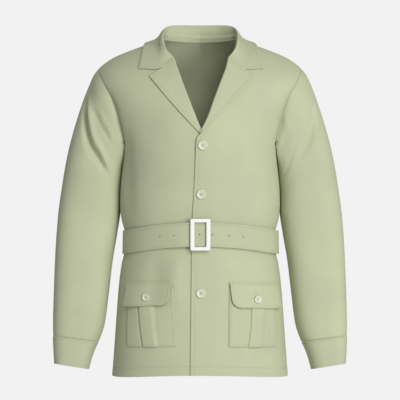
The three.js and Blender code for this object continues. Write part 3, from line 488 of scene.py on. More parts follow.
def insetLine(cloth, edge, inset, start=0, end=0):
    # the line on the cloth that keeps a distance from one edge, cut short at its ends
    distance = {"left": cloth.fromLeft, "right": cloth.fromRight, "foot": cloth.fromFoot, "top": cloth.fromTop}[edge]
    points, normals = cloth.point, cloth.normal
    if edge in ("foot", "top"):
        distance, points, normals = distance.T, points.swapaxes(0, 1), normals.swapaxes(0, 1)
    way = -1 if edge in ("right", "top") else 1
    found = []
    for d, p, n in zip(distance, points, normals):
        both = np.concatenate((p, n), axis=1)[::way]
        found.append([np.interp(inset, d[::way], both[:, k]) for k in range(6)])
    found = np.array(found)
    length = lengthsAlong(found[:, :3])
    keep = (length >= start) & (length <= length[-1] - end)
    return found[keep, :3], found[keep, 3:]


thread = {"stitch": 3.2, "gap": 0.5, "thickness": 0.45, "height": 0.2}


def sewThread(name, lines, pitch=None, thickness=None, material=None):
    # every stitch is a short bowed bit of thread whose ends go into the cloth
    pitch = pitch or thread["stitch"]
    curve = bpy.data.curves.new(name, "CURVE")
    curve.dimensions = "3D"
    curve.bevel_depth, curve.bevel_resolution = (thickness or thread["thickness"]) / 2 * mm, 0
    curve.use_fill_caps = True
    for points, normals in lines:
        length = lengthsAlong(points)
        count = int(length[-1] / pitch)
        for k in range(count):
            shares = np.array((0.06, 0.28, 0.72, 0.94)) * (pitch - thread["gap"]) + (k + 0.08) * length[-1] / count
            height = np.array((-0.15, 1, 1, -0.15)) * thread["height"]
            spot = np.stack([np.interp(shares, length, points[:, i]) for i in range(3)], axis=1)
            lift = np.stack([np.interp(shares, length, normals[:, i]) for i in range(3)], axis=1)
            spline = curve.splines.new("POLY")
            spline.points.add(3)
            at = (spot + lift * height[:, None]) * mm
            spline.points.foreach_set("co", np.concatenate((at, np.ones((4, 1))), axis=1).ravel())
    holder = bpy.data.objects.new(name + "Curve", curve)
    bpy.context.scene.collection.objects.link(holder)
    bpy.context.view_layer.update()
    mesh = bpy.data.meshes.new_from_object(holder.evaluated_get(bpy.context.evaluated_depsgraph_get()))
    bpy.data.objects.remove(holder)
    bpy.data.curves.remove(curve)
    mesh.name = name
    mesh.shade_smooth()
    mesh.materials.clear()
    return link(mesh, name, material or threadFinish)


# how seams, lines of stitching and free edges press the cloth, and where painted shade darkens them
def seamRoll(distance, depth=1.0, reach=2.4):
    return -depth * hump(distance, reach)


def stitchPress(cloth, distance, along, inset, depth=0.4, seed=1):
    # a groove under the thread with painted shade in it, a puffed edge beyond it, and small puckers along it
    cloth.stitched = np.maximum(cloth.stitched, 0.3 * hump(distance - inset, 1.1))
    cloth.worn = np.maximum(cloth.worn, 0.35 * hump(distance, 1.4))
    puckers = uneven(along, 0 * along, 13, seed) * hump(distance - inset, 7)
    puff = 0.35 * np.clip(np.sin(np.pi * np.clip(distance / inset, 0, 1)), 0, 1)
    return puff - 0.7 * depth * hump(distance - inset, 1.3) + 0.18 * puckers


def torsoWeave(cloth):
    x, y, z = np.moveaxis(cloth.point, -1, 0)
    return 185 * np.arctan2(x, np.abs(y) * 1.25 + 1e-6), z


# fronts

fronts = {
    "gorge": -49, "rollBack": 5.2, "belowShare": 0.66,
    # height and distance from the middle of the closing edge, roll line and neck
    "edges": {
        1: [(-741, -20.5), (-650, -19.6), (-552, -18.4), (-462, -17.3), (-390, -15.6), (-342, -12.9),
            (-283, -10.1), (-238, -8.2), (-217, -3.5), (-207, 2.1), (-177, 16.6), (-142, 29),
            (-100, 44.6), (-73, 54.5), (-49, 60.5), (-36, 69), (-22, 78.5), (0, 80)],
        -1: [(-741, -24), (-300, -24), (-262, -24), (-247, -20.5), (-224, -10.5), (-207, -3.4),
             (-192, 3), (-146, 21), (-100, 38.2), (-70, 48.8), (-49, 56.5), (-36, 67.5), (-22, 78), (0, 80)],
    },
    "breakLevel": {1: -224, -1: -251},
    "hemStitch": 19, "edgeStitch": 6.5, "columns": 96, "rows": 236,
}
closingEdge = {side: curveThrough(fronts["edges"][side]) for side in sides}


def frontEdgeX(side, z):
    low, gorge = fronts["breakLevel"][side], fronts["gorge"]
    underLapel = smooth(low, low + 11, z) * (1 - smooth(gorge + 8, gorge + 24, z))
    return closingEdge[side](z) + fronts["rollBack"] * underLapel


def frontPlace(side):
    below, underarm = fronts["belowShare"], torso["underarm"]

    def edgeTurn(z):
        return turnAt(frontEdgeX(side, z), z)

    def place(u, v):
        share = u if side > 0 else 1 - u
        level = blend(torso["hem"], underarm, np.clip(v / below, 0, 1))
        fade = 1 - smooth(-430, underarm, level)
        turn = blend(edgeTurn(level), np.pi / 2, share)
        lowZ = level + torso["frontRise"] * fade * np.cos(turn) ** 2
        lowTurn = blend(edgeTurn(lowZ), np.pi / 2, share)
        t = np.clip((v - below) / (1 - below), 0, 1)
        outerTurn, outerZ = frontArmhole(t)
        innerZ = blend(underarm, 0, t ** 1.06)
        highTurn = blend(edgeTurn(innerZ), outerTurn, share)
        straight = blend(innerZ, outerZ, share)
        ridge = ridgeLevel(halfWidth(straight) * np.sin(highTurn))
        bend = ridge - blend(0, ridgeLevel(torso["shoulderWidth"] / 2), share)
        highZ = straight + bend * smooth(0.35, 1, t)
        turn, z = np.where(v <= below, lowTurn, highTurn), np.where(v <= below, lowZ, highZ)
        p = torsoPoint(turn * side, z, -1)
        p[..., 1] -= frontLift(side, p[..., 0] * side, z) + torso["seamGap"] / 2
        return p
    return place


armholeHollow = {"body": 3.4, "sleeve": 2.6, "width": 9, "low": -250, "high": -110}


def byArmhole(z):
    # the cloth sinks towards the lower half of the armhole seam
    return smooth(armholeHollow["low"], armholeHollow["low"] + 22, z) * (1 - smooth(armholeHollow["high"] - 50, armholeHollow["high"], z))


def frontRelief(side):
    def relief(cloth):
        inner, outer = (cloth.fromLeft, cloth.fromRight) if side > 0 else (cloth.fromRight, cloth.fromLeft)
        z = cloth.point[..., 2]
        closing = 1 - smooth(fronts["breakLevel"][side] - 14, fronts["breakLevel"][side], z)
        press = stitchPress(cloth, inner, z, fronts["edgeStitch"], seed=11 + side) * closing
        press = press + stitchPress(cloth, cloth.fromFoot, inner, fronts["hemStitch"], depth=0.5, seed=21 + side)
        for distance in (outer, cloth.fromTop):
            press = press + seamRoll(distance, 0.5)
            # painted shade along the outer seams and the shoulder seam
            cloth.stitched = np.maximum(cloth.stitched, 0.5 * hump(distance, 1.2))
        return press - armholeHollow["body"] * hump(outer, armholeHollow["width"]) * byArmhole(z)
    return relief


for side, word in sides.items():
    inner = 0.0 if side > 0 else 1.0
    layCloth(
        f"front{word.title()}", f"front_{word}", frontPlace(side), fronts["columns"], fronts["rows"],
        near=(((inner, 0.03, 2.2), (1 - inner, 0.015, 1.5)), ((0, 0.03, 1.6), (1, 0.012, 1.5), (0.7, 0.03, 0.6))),
        relief=frontRelief(side), weave=torsoWeave,
        sewn=[("left" if side > 0 else "right", fronts["edgeStitch"], 6, 268),
              ("foot", fronts["hemStitch"], 4, 4)],
    )
print("fronts laid")


# back

back = {"columns": 140, "rows": 210, "hemStitch": 19}


def neckLevel(x):
    return torso["neckDip"] * ((x / (torso["neckWidth"] / 2)) ** 2 - 1)


def backPlace(u, v):
    below, underarm = fronts["belowShare"], torso["underarm"]
    share = 1 - 2 * u
    level = blend(torso["hem"], underarm, np.clip(v / below, 0, 1))
    lowTurn = share * np.pi / 2
    t = np.clip((v - below) / (1 - below), 0, 1)
    outerTurn, outerZ = backArmhole(t)
    highTurn = outerTurn * share
    x = np.abs(halfWidth(-60) * np.sin(highTurn))
    top = np.where(x < torso["neckWidth"] / 2, neckLevel(x), ridgeLevel(x))
    straight = blend(blend(underarm, -torso["neckDip"], t), outerZ, np.abs(share))
    bend = top - blend(-torso["neckDip"], ridgeLevel(torso["shoulderWidth"] / 2), np.abs(share))
    highZ = straight + bend * smooth(0.35, 1, t)
    turn, z = np.where(v <= below, lowTurn, highTurn), np.where(v <= below, level, highZ)
    p = torsoPoint(turn, z, 1)
    p[..., 1] += torso["seamGap"] / 2
    return p


def backRelief(cloth):
    press = stitchPress(cloth, cloth.fromFoot, cloth.fromLeft, back["hemStitch"], depth=0.5, seed=31)
    for distance in (cloth.fromLeft, cloth.fromRight, cloth.fromTop):
        press = press + seamRoll(distance, 0.5)
        # painted shade along the side, armhole and shoulder seams
        cloth.stitched = np.maximum(cloth.stitched, 0.5 * hump(distance, 1.2))
    return press


backPiece = layCloth("backPanel", "back", backPlace, back["columns"], back["rows"],
                     near=(((0, 0.01, 1.5), (1, 0.01, 1.5), (0.35, 0.02, 0.8), (0.65, 0.02, 0.8)),
                           ((0, 0.03, 1.6), (1, 0.012, 1.5))),
                     relief=backRelief, weave=torsoWeave, sewn=[("foot", back["hemStitch"], 4, 4)])
print("back laid")


# sleeves and cuffs

sleeves = {
    # distance from the armhole, outer line x z, inner line x z in the front view, half depth, middle y
    "rings": [
        (0, 221, -63.6, 170.8, -252, 70, 0), (22, 234, -80, 170.6, -254, 72, 2),
        (52, 246.5, -107, 169.4, -264, 74, 5), (92, 260, -145, 169.8, -280, 75, 9),
        (142, 275, -192, 171.8, -304, 75, 13), (202, 290.5, -250, 174.6, -334, 73, 15),
        (275, 303.5, -322, 175.8, -376, 70, 15), (345, 312.5, -390, 182.3, -424, 67, 12),
        (424, 317.5, -469, 192.5, -487, 63, 4), (515, 320, -559, 201, -563, 59, -8),
        (577, 320.8, -619, 208.5, -623, 55.5, -17), (611, 320, -651, 222, -664, 51.5, -22),
        (612, 320, -652, 222.6, -665, 51.5, -22), (640, 318.8, -681, 234.5, -693, 47.5, -25),
        (668, 316.8, -711.5, 243, -723.5, 44, -28),
    ],
    "capFade": 150, "girth": 62, "tuck": 4.5, "tuckDepth": 4, "seam": 0.9, "squareness": 2.9, "frontFlat": 0.94, "cuffStart": 612, "cuffEnd": 668,
    "cuffTilt": 0.11,  # the opening leans down towards the back
    "columns": 132, "rows": 220, "cuffStitch": 5,
}
outX, outZ, inX, inZ, sleeveDepth, sleeveY = columns(sleeves["rings"])

# degrees round the sleeve (0 outside, 90 in front) and distance along it, twice, width, depth, bow, lean
sleeveCreases = {
    1: [
        (43, 76, 98, 160, 10, 3.8, 0, -1), (98, 112, 144, 168, 12, 1.8, 0, 0),
        (110, 196, 84, 330, 30, -2, 0, 0), (-30, 90, -98, 210, 15, 4.4, 6, -1),
        (205, 330, 262, 372, 16, 2.8, 4, 0),
    ],
    -1: [
        (30, 72, 106, 178, 9.5, 11.5, -2, 1), (62, 66, 106, 90, 9, 2.4, 0, 1), (4, 36, 58, 62, 20, 3, 0, 0),
        (100, 182, 88, 320, 30, -2, 0, 0), (-34, 84, -100, 204, 14, 5, 6, -1),
        (208, 336, 264, 374, 16, 2.8, 4, 0),
    ],
}
flatSleeveCreases = {side: [(math.radians(a) * sleeves["girth"], b, math.radians(c) * sleeves["girth"], d, *rest)
                            for a, b, c, d, *rest in sleeveCreases[side]] for side in sides}


def sleeveTube(angle, along):
    outer, inner = stack(outX(along), 0, outZ(along)), stack(inX(along), 0, inZ(along))
    middle = (outer + inner) / 2
    out, front = (np.sign(way) * np.abs(way) ** (2 / sleeves["squareness"]) for way in (np.cos(angle), np.sin(angle)))
    front = front * np.where(front > 0, sleeves["frontFlat"], 1)
    p = middle + (outer - middle) * out[..., None]
    p[..., 1] += sleeveY(along) - sleeveDepth(along) * front
    p[..., 2] += sleeves["cuffTilt"] * sleeveDepth(along) * front * smooth(450, sleeves["cuffStart"], along)
    return p


def armholeLoop(angle):
    share = angle / np.pi
    front = torsoPoint(*frontArmhole(np.clip(1 - share, 0, 1)), -1)
    behind = torsoPoint(*backArmhole(np.clip(share - 1, 0, 1)), 1)
    return np.where((share <= 1)[..., None], front, behind)


def tucked(angle, reach):
    # the seam allowance that goes in under the body's edge
    loop = armholeLoop(angle)
    along = armholeLoop(angle + 0.03) - armholeLoop(angle - 0.03)
    off = unit(laidOff(loop, 3) - laidOff(loop, -3))
    inwards = unit(np.cross(along, off))
    outwards = sleeveTube(angle, 0 * angle + 30) - sleeveTube(angle, 0 * angle)
    inwards = inwards * -np.sign(np.sum(inwards * outwards, axis=-1, keepdims=True))
    return inwards * reach[..., None] - off * (sleeves["tuckDepth"] * smooth(0, 1.6, reach))[..., None]


def sleevePlace(side, start, end):
    def place(u, v):
        angle = 2 * np.pi * (u if side > 0 else 1 - u)
        along = np.maximum(blend(start, end, v), sleeves["seam"])
        reach = along - blend(start, end, v)
        cap = 1 - smooth(0, sleeves["capFade"], along)
        tube = sleeveTube(angle, along)
        p = tube + (armholeLoop(angle) - sleeveTube(angle, 0 * along)) * cap[..., None]
        middle = (tube + sleeveTube(angle + np.pi, along)) / 2
        crease = sum(creaseDepth(flatSleeveCreases[side], (angle + lap * 2 * np.pi) * sleeves["girth"], along)
                     for lap in (-1, 0, 1))
        crease = crease + 0.6 * smooth(30, 120, along) * np.sin(angle) * uneven(along, 0 * along, 150, 8)
        p -= unit(p - middle) * crease[..., None]
        if start < 0:
            p += tucked(angle, reach)
        p[..., 0] *= side
        return p
    return place


def sleeveRelief(cloth):
    start, end = -sleeves["tuck"], sleeves["cuffStart"] - torso["seamGap"]
    seamRow = int(np.argmin(np.abs(blend(start, end, cloth.v[:, 0]) - sleeves["seam"])))
    fromSeam = np.maximum(cloth.fromFoot - cloth.fromFoot[seamRow], 0)
    press = seamRoll(fromSeam, 0.8, 3) + seamRoll(cloth.fromTop, 0.4)
    # painted shade along the armhole seam and the cuff seam
    cloth.stitched = np.maximum(0.6 * hump(fromSeam, 1.4), 0.8 * hump(cloth.fromTop, 1.4))
    # the seam up the underside, with painted shade along it
    underside = np.abs(cloth.fromLeft - cloth.fromLeft[:, -1:] / 2)
    cloth.stitched = np.maximum(cloth.stitched, 0.5 * hump(underside, 1.2))
    inFront = smooth(10, 40, -cloth.point[..., 1])
    hollow = armholeHollow["sleeve"] * hump(fromSeam, armholeHollow["width"]) * byArmhole(cloth.point[..., 2]) * inFront
    return press - 0.4 * hump(underside, 2) - hollow


def cuffRelief(cloth):
    press = 0.5 * smooth(0, 3, cloth.fromFoot) + seamRoll(cloth.fromFoot, 0.4, 1.6)
    # painted shade along the seam to the sleeve
    cloth.stitched = 0.8 * hump(cloth.fromFoot, 1.4)
    return (press + stitchPress(cloth, cloth.fromFoot, cloth.fromLeft, sleeves["cuffStitch"], 0.35, 41)
            + stitchPress(cloth, cloth.fromTop, cloth.fromLeft, sleeves["cuffStitch"], 0.35, 43))


sleevePieces, cuffPieces = {}, {}
for side, word in sides.items():
    sleevePieces[side] = layCloth(
        f"sleeve{word.title()}", f"sleeve_{word}", sleevePlace(side, -sleeves["tuck"], sleeves["cuffStart"] - torso["seamGap"]),
        sleeves["columns"], sleeves["rows"],
        near=(((0.5, 0.01, 1.5), (0.22 if side > 0 else 0.78, 0.1, 0.9)), ((0.008, 0.012, 2.5), (1, 0.01, 1.5), (0.2, 0.09, 0.8))),
        tube=True, relief=sleeveRelief)
    cuffPieces[side] = layCloth(
        f"cuff{word.title()}", f"cuff_{word}", sleevePlace(side, sleeves["cuffStart"], sleeves["cuffEnd"]),
        sleeves["columns"], 34, near=((), ((0, 0.08, 1), (1, 0.08, 1))), tube=True, relief=cuffRelief,
        sewn=[("foot", sleeves["cuffStitch"]), ("top", sleeves["cuffStitch"])])
print("sleeves and cuffs laid")


# lapels

lapels = {
    # break at the foot, start of the outer edge, and tip, in the front view
    1: {"foot": (-0.9, -213.5), "footOuter": (1.6, -212.5), "tip": (117.5, -90)},
    -1: {"foot": (-6.5, -214.5), "footOuter": (0.6, -214), "tip": (107.2, -93)},
    "rollRadius": 3.6, "height": 3.3, "edgeHeight": 3.6, "start": -0.2, "bow": 2, "gorgeBow": 2,
    "edgeStitch": 5.5, "columns": 44, "rows": 96,
}


def lapelPlace(side):
    (footX, footZ), (outerX, outerZ), (tipX, tipZ) = (lapels[side][key] for key in ("foot", "footOuter", "tip"))
    top = fronts["gorge"] - 2.6

    def place(u, v):
        share = u if side > 0 else 1 - u
        z = blend(footZ, top, v)
        rollX = blend(footX, closingEdge[side](z), smooth(0, 0.03, v))
        bow = lapels["bow"] * np.sin(np.pi * v)
        lineX = blend(outerX, tipX, v) + 0.75 * bow - rollX
        lineZ = blend(outerZ, tipZ, v) - 0.65 * bow - z
        width = np.hypot(lineX, lineZ)
        radius = np.minimum(lapels["rollRadius"], width * 0.4)
        bend = 0.22
        d = np.where(share < bend, radius * (share / bend) ** 1.6,
                     blend(radius, width, np.clip((share - bend) / (1 - bend), 0, 1)))
        turned = np.sqrt(np.maximum(0, 1 - (1 - np.minimum(1, d / radius)) ** 2))
        settle = smooth(0, 1, (d - radius) / np.maximum(width - radius, 1e-6))
        height = blend(lapels["start"], blend(lapels["height"], lapels["edgeHeight"], settle), turned)
        x = rollX + lineX / width * d
        low = z + lineZ / width * d - lapels["gorgeBow"] * np.sin(np.pi * d / width) * v ** 4
        return onFront(side, x, low, height)
    return place


def lapelRelief(side):
    def relief(cloth):
        outer = cloth.fromRight if side > 0 else cloth.fromLeft
        width = cloth.fromLeft[:, -1:]
        wide = smooth(14, 30, width)
        press = stitchPress(cloth, outer, cloth.fromFoot, lapels["edgeStitch"], 0.35, 51 + side) * wide
        press = press + stitchPress(cloth, cloth.fromTop, outer, lapels["edgeStitch"], 0.35, 53 + side) * wide
        return press
    return relief


for side, word in sides.items():
    outer = 1.0 if side > 0 else 0.0
    layCloth(
        f"lapel{word.title()}", f"lapel_{word}", lapelPlace(side), lapels["columns"], lapels["rows"],
        near=(((outer, 0.08, 1.2),), ((1, 0.05, 1.2), (0, 0.03, 1))), relief=lapelRelief(side),
        sewn=[("right" if side > 0 else "left", lapels["edgeStitch"], 22, 6), ("top", lapels["edgeStitch"], 4, 6)])
print("lapels laid")


# collar

collar = {
    "shoulderStation": 4, "lastStation": 7, "leftReach": 4.5, "gapBack": 0.8, "gapFront": 2.2,
    "rollHalf": 3.4, "rollRise": 4, "rollEnd": 0.8, "rollLean": 2, "lieMiddle": 5, "lieInFront": 3.8, "lieEdge": 3.6, "edgeStitch": 5.5,
    # half of it, from the middle of the back to its end: station, neck seam (sideways behind,
    # downwards in front), then x y z of the roll, of the middle of the fall and of its edge
    "stations": [
        (0, 0, 0, 67, 33, 0, 77, 12, 0, 78, -13),
        (1, 34, 35, 64, 33, 39, 73, 12, 43, 72, -15),
        (2, 59, 61, 49, 31, 71, 56, 12, 81, 56, -17),
        (3, 74, 77, 27, 24, 89, 31, 9, 108, 32, -17),
        (4, 80, 81, 0, 14, 95, 6, 2, 121, 6, -12),
        (5, -16, 82.5, -51, -7, 91.5, -37, -19, 122.5, -23, -22),
        (6, -32, 77.5, -71, -28, 89.5, -66.7, -43, 125.5, -58, -48),
        (7, -46, 58.5, -87, -50.5, 86.5, -94, -76, 130, -84, -75.5),
    ],
    "columns": 230, "rows": 66,
}
mirrored = [-value if k in (0, 2, 5, 8) else value for k, value in enumerate(collar["stations"][1])]
collarCurves = columns([(row[0], *row[2:]) for row in (mirrored, *collar["stations"])])
seamBehind = curveThrough([(-1, -34)] + [row[:2] for row in collar["stations"][:5]])
seamInFront = curveThrough([(4, 0)] + [row[:2] for row in collar["stations"][5:]])


def neckEdge(side, at):
    # a point of the panels' neck edge, the way off the cloth there, and the way on past the edge
    shoulder, last = collar["shoulderStation"], collar["lastStation"]

    def pointOf(station, behind):
        if behind:
            x = seamBehind(station)
            return torsoPoint(turnAt(x, neckLevel(x)), neckLevel(x), 1)
        z = seamInFront(station)
        p = frontPoint(side, frontEdgeX(side, z), z)
        p[..., 0] = np.abs(p[..., 0])
        return p
    parts = []
    for behind in (True, False):
        low, high = (0, shoulder) if behind else (shoulder + 0.01, last)
        near = [np.clip(at - 0.1, low, high), np.clip(at + 0.1, low, high)]
        near[1] = np.maximum(near[1], near[0] + 0.05)
        along = unit(pointOf(near[1], behind) - pointOf(near[0], behind))
        parts.append((pointOf(np.clip(at, low, high), behind), along))
    pick = (at <= shoulder)[..., None]
    point, along = (np.where(pick, a, b) for a, b in zip(*parts))
    off = unit(laidOff(point, 3) - laidOff(point, -3))
    return point, off, unit(np.cross(along, off))


def collarControls(side, at):
    shoulder, last = collar["shoulderStation"], collar["lastStation"]
    read = [curve(at) for curve in collarCurves]
    roll, raised, edge = (stack(*read[k:k + 3]) for k in (0, 3, 6))
    middle = raised.copy()
    if side > 0:
        edge[..., 0] += collar["leftReach"] * smooth(shoulder, last, at)
    roll[..., 0] += side * collar["rollLean"] * smooth(last - 2, last, at)
    for part in (middle, edge):
        onBody = torsoDepth(part[..., 0], part[..., 2], -1)
        part[..., 1] = np.where(at > shoulder, onBody, part[..., 1])
    point, off, past = neckEdge(side, at)
    gap = blend(collar["gapBack"], collar["gapFront"], smooth(shoulder, shoulder + 1, at))
    seam = point - off * 1.8 + past * gap[..., None]
    middle = laidOff(middle, blend(collar["lieMiddle"], collar["lieInFront"], smooth(shoulder, shoulder + 1, at))[..., None])
    free = (at < shoulder) & (torsoField(raised) > torsoField(middle))
    middle = np.where(free[..., None], raised, middle)
    edge = laidOff(edge, collar["lieEdge"])
    apex = unit(unit(roll - seam) + unit(roll - middle))
    out = middle - roll
    out = unit(out - apex * np.sum(out * apex, axis=-1, keepdims=True))
    half = (collar["rollHalf"] * (1 - 0.5 * smooth(last - 1, last, at)))[..., None]
    rise = blend(collar["rollRise"], collar["rollEnd"], smooth(last - 1.3, last, at))[..., None]
    return [seam, roll - out * half, roll + apex * rise, roll + out * half, middle, edge]


def smoothPath(controls, t):
    # centripetal spline through the controls at the shares t, one row of points for each share
    controls = [2 * controls[0] - controls[1], *controls, 2 * controls[-1] - controls[-2]]
    spans = len(controls) - 3
    rows = []
    for share in t:
        i = min(int(share * spans), spans - 1)
        w = share * spans - i
        a, b, c, d = controls[i:i + 4]
        ab, bc, cd = (np.sqrt(np.linalg.norm(q - p, axis=-1, keepdims=True)) for p, q in ((a, b), (b, c), (c, d)))
        start = ((b - a) / ab - (c - a) / (ab + bc) + (c - b) / bc) * bc
        end = ((c - b) / bc - (d - b) / (bc + cd) + (d - c) / cd) * bc
        rows.append(b + start * w + (-3 * b + 3 * c - 2 * start - end) * w ** 2 + (2 * b - 2 * c + start + end) * w ** 3)
    return np.array(rows)


def collarPlace(u, v):
    at = (u[0] * 2 - 1) * collar["lastStation"]
    halves = []
    for side in (-1, 1):
        points = smoothPath(collarControls(side, np.abs(at)), v[:, 0])
        points[..., 0] *= side
        halves.append(points)
    return np.where((at > 0)[None, :, None], halves[1], halves[0])


def collarRelief(cloth):
    at = np.abs(cloth.u * 2 - 1) * collar["lastStation"]
    ends = np.minimum(cloth.fromLeft, cloth.fromRight)
    press = stitchPress(cloth, cloth.fromTop, cloth.fromLeft, collar["edgeStitch"], 0.35, 61)
    press = press + stitchPress(cloth, ends, cloth.fromFoot, collar["edgeStitch"], 0.35, 62) * smooth(0.45, 0.7, cloth.v)
    # inside the neck: a raised cord where the stand is joined, a groove under it darkened with painted shade, and the
    # hollow above
    behind = 1 - smooth(3.4, 4.6, at)
    cloth.stitched = np.maximum(cloth.stitched, 0.8 * hump(cloth.fromFoot - 2.5, 1.3) * behind)
    cord = 2.2 * hump(cloth.fromFoot - 8.6, 2) - 2 * hump(cloth.fromFoot - 16, 5) - 0.8 * hump(cloth.fromFoot - 3, 1.6)
    return press + behind * cord


collarPiece = layCloth("collarPiece", "collar", collarPlace, collar["columns"], collar["rows"],
                       near=(((0, 0.012, 1.5), (1, 0.012, 1.5), (0.22, 0.03, 0.6), (0.78, 0.03, 0.6)), ((1, 0.05, 0.8), (0.12, 0.08, 1.2))),
                       relief=collarRelief,
                       sewn=[("top", collar["edgeStitch"], 5, 5), ("left", collar["edgeStitch"], 60, 5),
                             ("right", collar["edgeStitch"], 60, 5)])
print("collar laid")


# patch pockets and their flaps

pockets = {
    1: {"inTop": 61.5, "inFoot": 60.5, "outTop": 160, "outFoot": 163, "top": -541, "foot": -666, "outDrop": 4,
        "pleatTop": 105, "pleatMiddle": 108, "pleatFoot": 101, "pleatWidth": 28},
    -1: {"inTop": 56.5, "inFoot": 49.8, "outTop": 154, "outFoot": 156, "top": -541, "foot": -664, "outDrop": 5,
         "pleatTop": 99, "pleatMiddle": 97, "pleatFoot": 89.5, "pleatWidth": 30},
    "face": 2.7, "pleatHeight": 2.1, "fullness": 1.0, "edgeStitch": 5, "columns": 96, "rows": 64,
}
flaps = {
    1: {"inTop": 62.5, "inLean": 6, "outTop": 160.5, "outFoot": 168.5, "top": -528.5, "foot": -582, "outDrop": 5,
        "corner": 15, "button": (118.6, -566.5)},
    -1: {"inTop": 60, "inLean": 6, "outTop": 153, "outFoot": 158.5, "top": -526.5, "foot": -577, "outDrop": 6,
         "corner": 15, "button": (111.7, -562)},
    "edgeStitch": 5, "columns": 64, "rows": 44,
}


def pocketPlace(side):
    size = pockets[side]

    def place(u, v):
        share = u if side > 0 else 1 - u
        t = 1 - v
        inner, outer = blend(size["inTop"], size["inFoot"], t), blend(size["outTop"], size["outFoot"], t)
        x = blend(inner, outer, share)
        z = blend(size["foot"], size["top"], v) - size["outDrop"] * share
        middle = size["pleatMiddle"] - (size["pleatTop"] + size["pleatFoot"]) / 2
        pleat = blend(size["pleatTop"], size["pleatFoot"], t) + 4 * t * (1 - t) * middle
        opened = blend(0.25, 1, smooth(0, 0.3, t)) * pockets["pleatHeight"]
        # the fold towards the garment's right stands open, the other one lies nearly flat
        innerFold, outerFold = x - pleat, x - pleat - size["pleatWidth"]
        sharp, flat = (innerFold, outerFold) if side > 0 else (-outerFold, -innerFold)
        band = smooth(-0.5, 0.5, sharp) * (1 - smooth(-6, 5, flat))
        swell = 0.5 * np.sin(np.pi * np.clip(innerFold / size["pleatWidth"], 0, 1))
        dips = 1.9 * hump(sharp + 2, 2) + 0.2 * hump(flat - 3, 3)
        fullness = pockets["fullness"] * np.sin(np.pi * share) * np.sin(np.pi * np.clip(t, 0.02, 0.98))
        return onFront(side, x, z, pockets["face"] + fullness + band * (opened + swell) - dips * smooth(0, 0.3, t))
    return place


def pocketRelief(side):
    def relief(cloth):
        inner, outer = (cloth.fromLeft, cloth.fromRight) if side > 0 else (cloth.fromRight, cloth.fromLeft)
        press = 0
        for n, (distance, along) in enumerate(((inner, cloth.fromFoot), (outer, cloth.fromFoot), (cloth.fromFoot, inner))):
            press = press + stitchPress(cloth, distance, along, pockets["edgeStitch"], 0.4, 70 + n + side) - 0.9 * hump(distance, 2.2)
            # painted shade round the pocket's sides and foot, where it meets the front
            cloth.stitched = np.maximum(cloth.stitched, 0.8 * hump(distance, 1.8))
        return press
    return relief


def flapHeight(down):
    return 2.4 + 3.1 * smooth(0, 0.14, down) + 4 * down


def flapPlace(side):
    size = flaps[side]

    def place(u, v):
        share, down = (u if side > 0 else 1 - u), 1 - v
        corner = size["corner"] * (1 - np.sqrt(1 - np.clip((down - 0.72) / 0.28, 0, 1) ** 2))
        outCorner = 3 * (1 - np.sqrt(1 - np.clip((down - 0.93) / 0.07, 0, 1) ** 2))
        inner = size["inTop"] + size["inLean"] * down ** 1.5 + corner
        outer = blend(size["outTop"], size["outFoot"], down) - outCorner
        x = blend(inner, outer, share)
        outwards = (x - size["inTop"]) / (size["outTop"] - size["inTop"])
        z = blend(size["top"], size["foot"], down) - size["outDrop"] * outwards
        face = flapHeight(down) + 0.4 * np.sin(share * 8 + 1) * down
        return onFront(side, x, z, face)
    return place


def flapRelief(side):
    def relief(cloth):
        inner, outer = (cloth.fromLeft, cloth.fromRight) if side > 0 else (cloth.fromRight, cloth.fromLeft)
        press = 0
        for n, (distance, along) in enumerate(((inner, cloth.fromFoot), (outer, cloth.fromFoot),
                                               (cloth.fromFoot, inner), (cloth.fromTop, inner))):
            press = press + stitchPress(cloth, distance, along, flaps["edgeStitch"], 0.35, 80 + n + side)
        return press
    return relief


pocketPieces, flapPieces = {}, {}
for side, word in sides.items():
    size = pockets[side]
    pleat = (size["pleatMiddle"] - size["inTop"]) / (size["outTop"] - size["inTop"])
    folds = [pleat, pleat + size["pleatWidth"] / (size["outTop"] - size["inTop"])]
    folds = [fold if side > 0 else 1 - fold for fold in folds]
    pocketPieces[side] = layCloth(
        f"pocket{word.title()}", f"pocket_{word}", pocketPlace(side), pockets["columns"], pockets["rows"],
        near=([(fold, 0.05, 2.5) for fold in folds] + [(0, 0.03, 1), (1, 0.03, 1)], ((0, 0.04, 1),)),
        relief=pocketRelief(side), thickness=1.4,
        sewn=[("left", pockets["edgeStitch"], 6, 2), ("right", pockets["edgeStitch"], 6, 2), ("foot", pockets["edgeStitch"], 6, 6)])
    flapPieces[side] = layCloth(
        f"pocketFlap{word.title()}", f"pocket_flap_{word}", flapPlace(side), flaps["columns"], flaps["rows"],
        near=(((0, 0.05, 1), (1, 0.05, 1)), ((0, 0.08, 2),)), relief=flapRelief(side),
        sewn=[("left", flaps["edgeStitch"], 6, 2), ("right", flaps["edgeStitch"], 6, 2), ("foot", flaps["edgeStitch"], 7, 6),
              ("top", flaps["edgeStitch"], 4, 4)])
print("pockets and flaps laid")


# belt

belt = {
    "height": 51, "thickness": 2.4, "clearance": 1.3, "sideLevel": -447.5, "frontRise": 19.5, "backRise": -3.5,
    "start": 2.2, "tailEnd": 458, "edgeStitch": 4, "columns": 560, "rows": 26,
    "eyelets": [-82, -53, -0.8, 25.4, 58, 88], "eyeletRadius": 1.3,
}


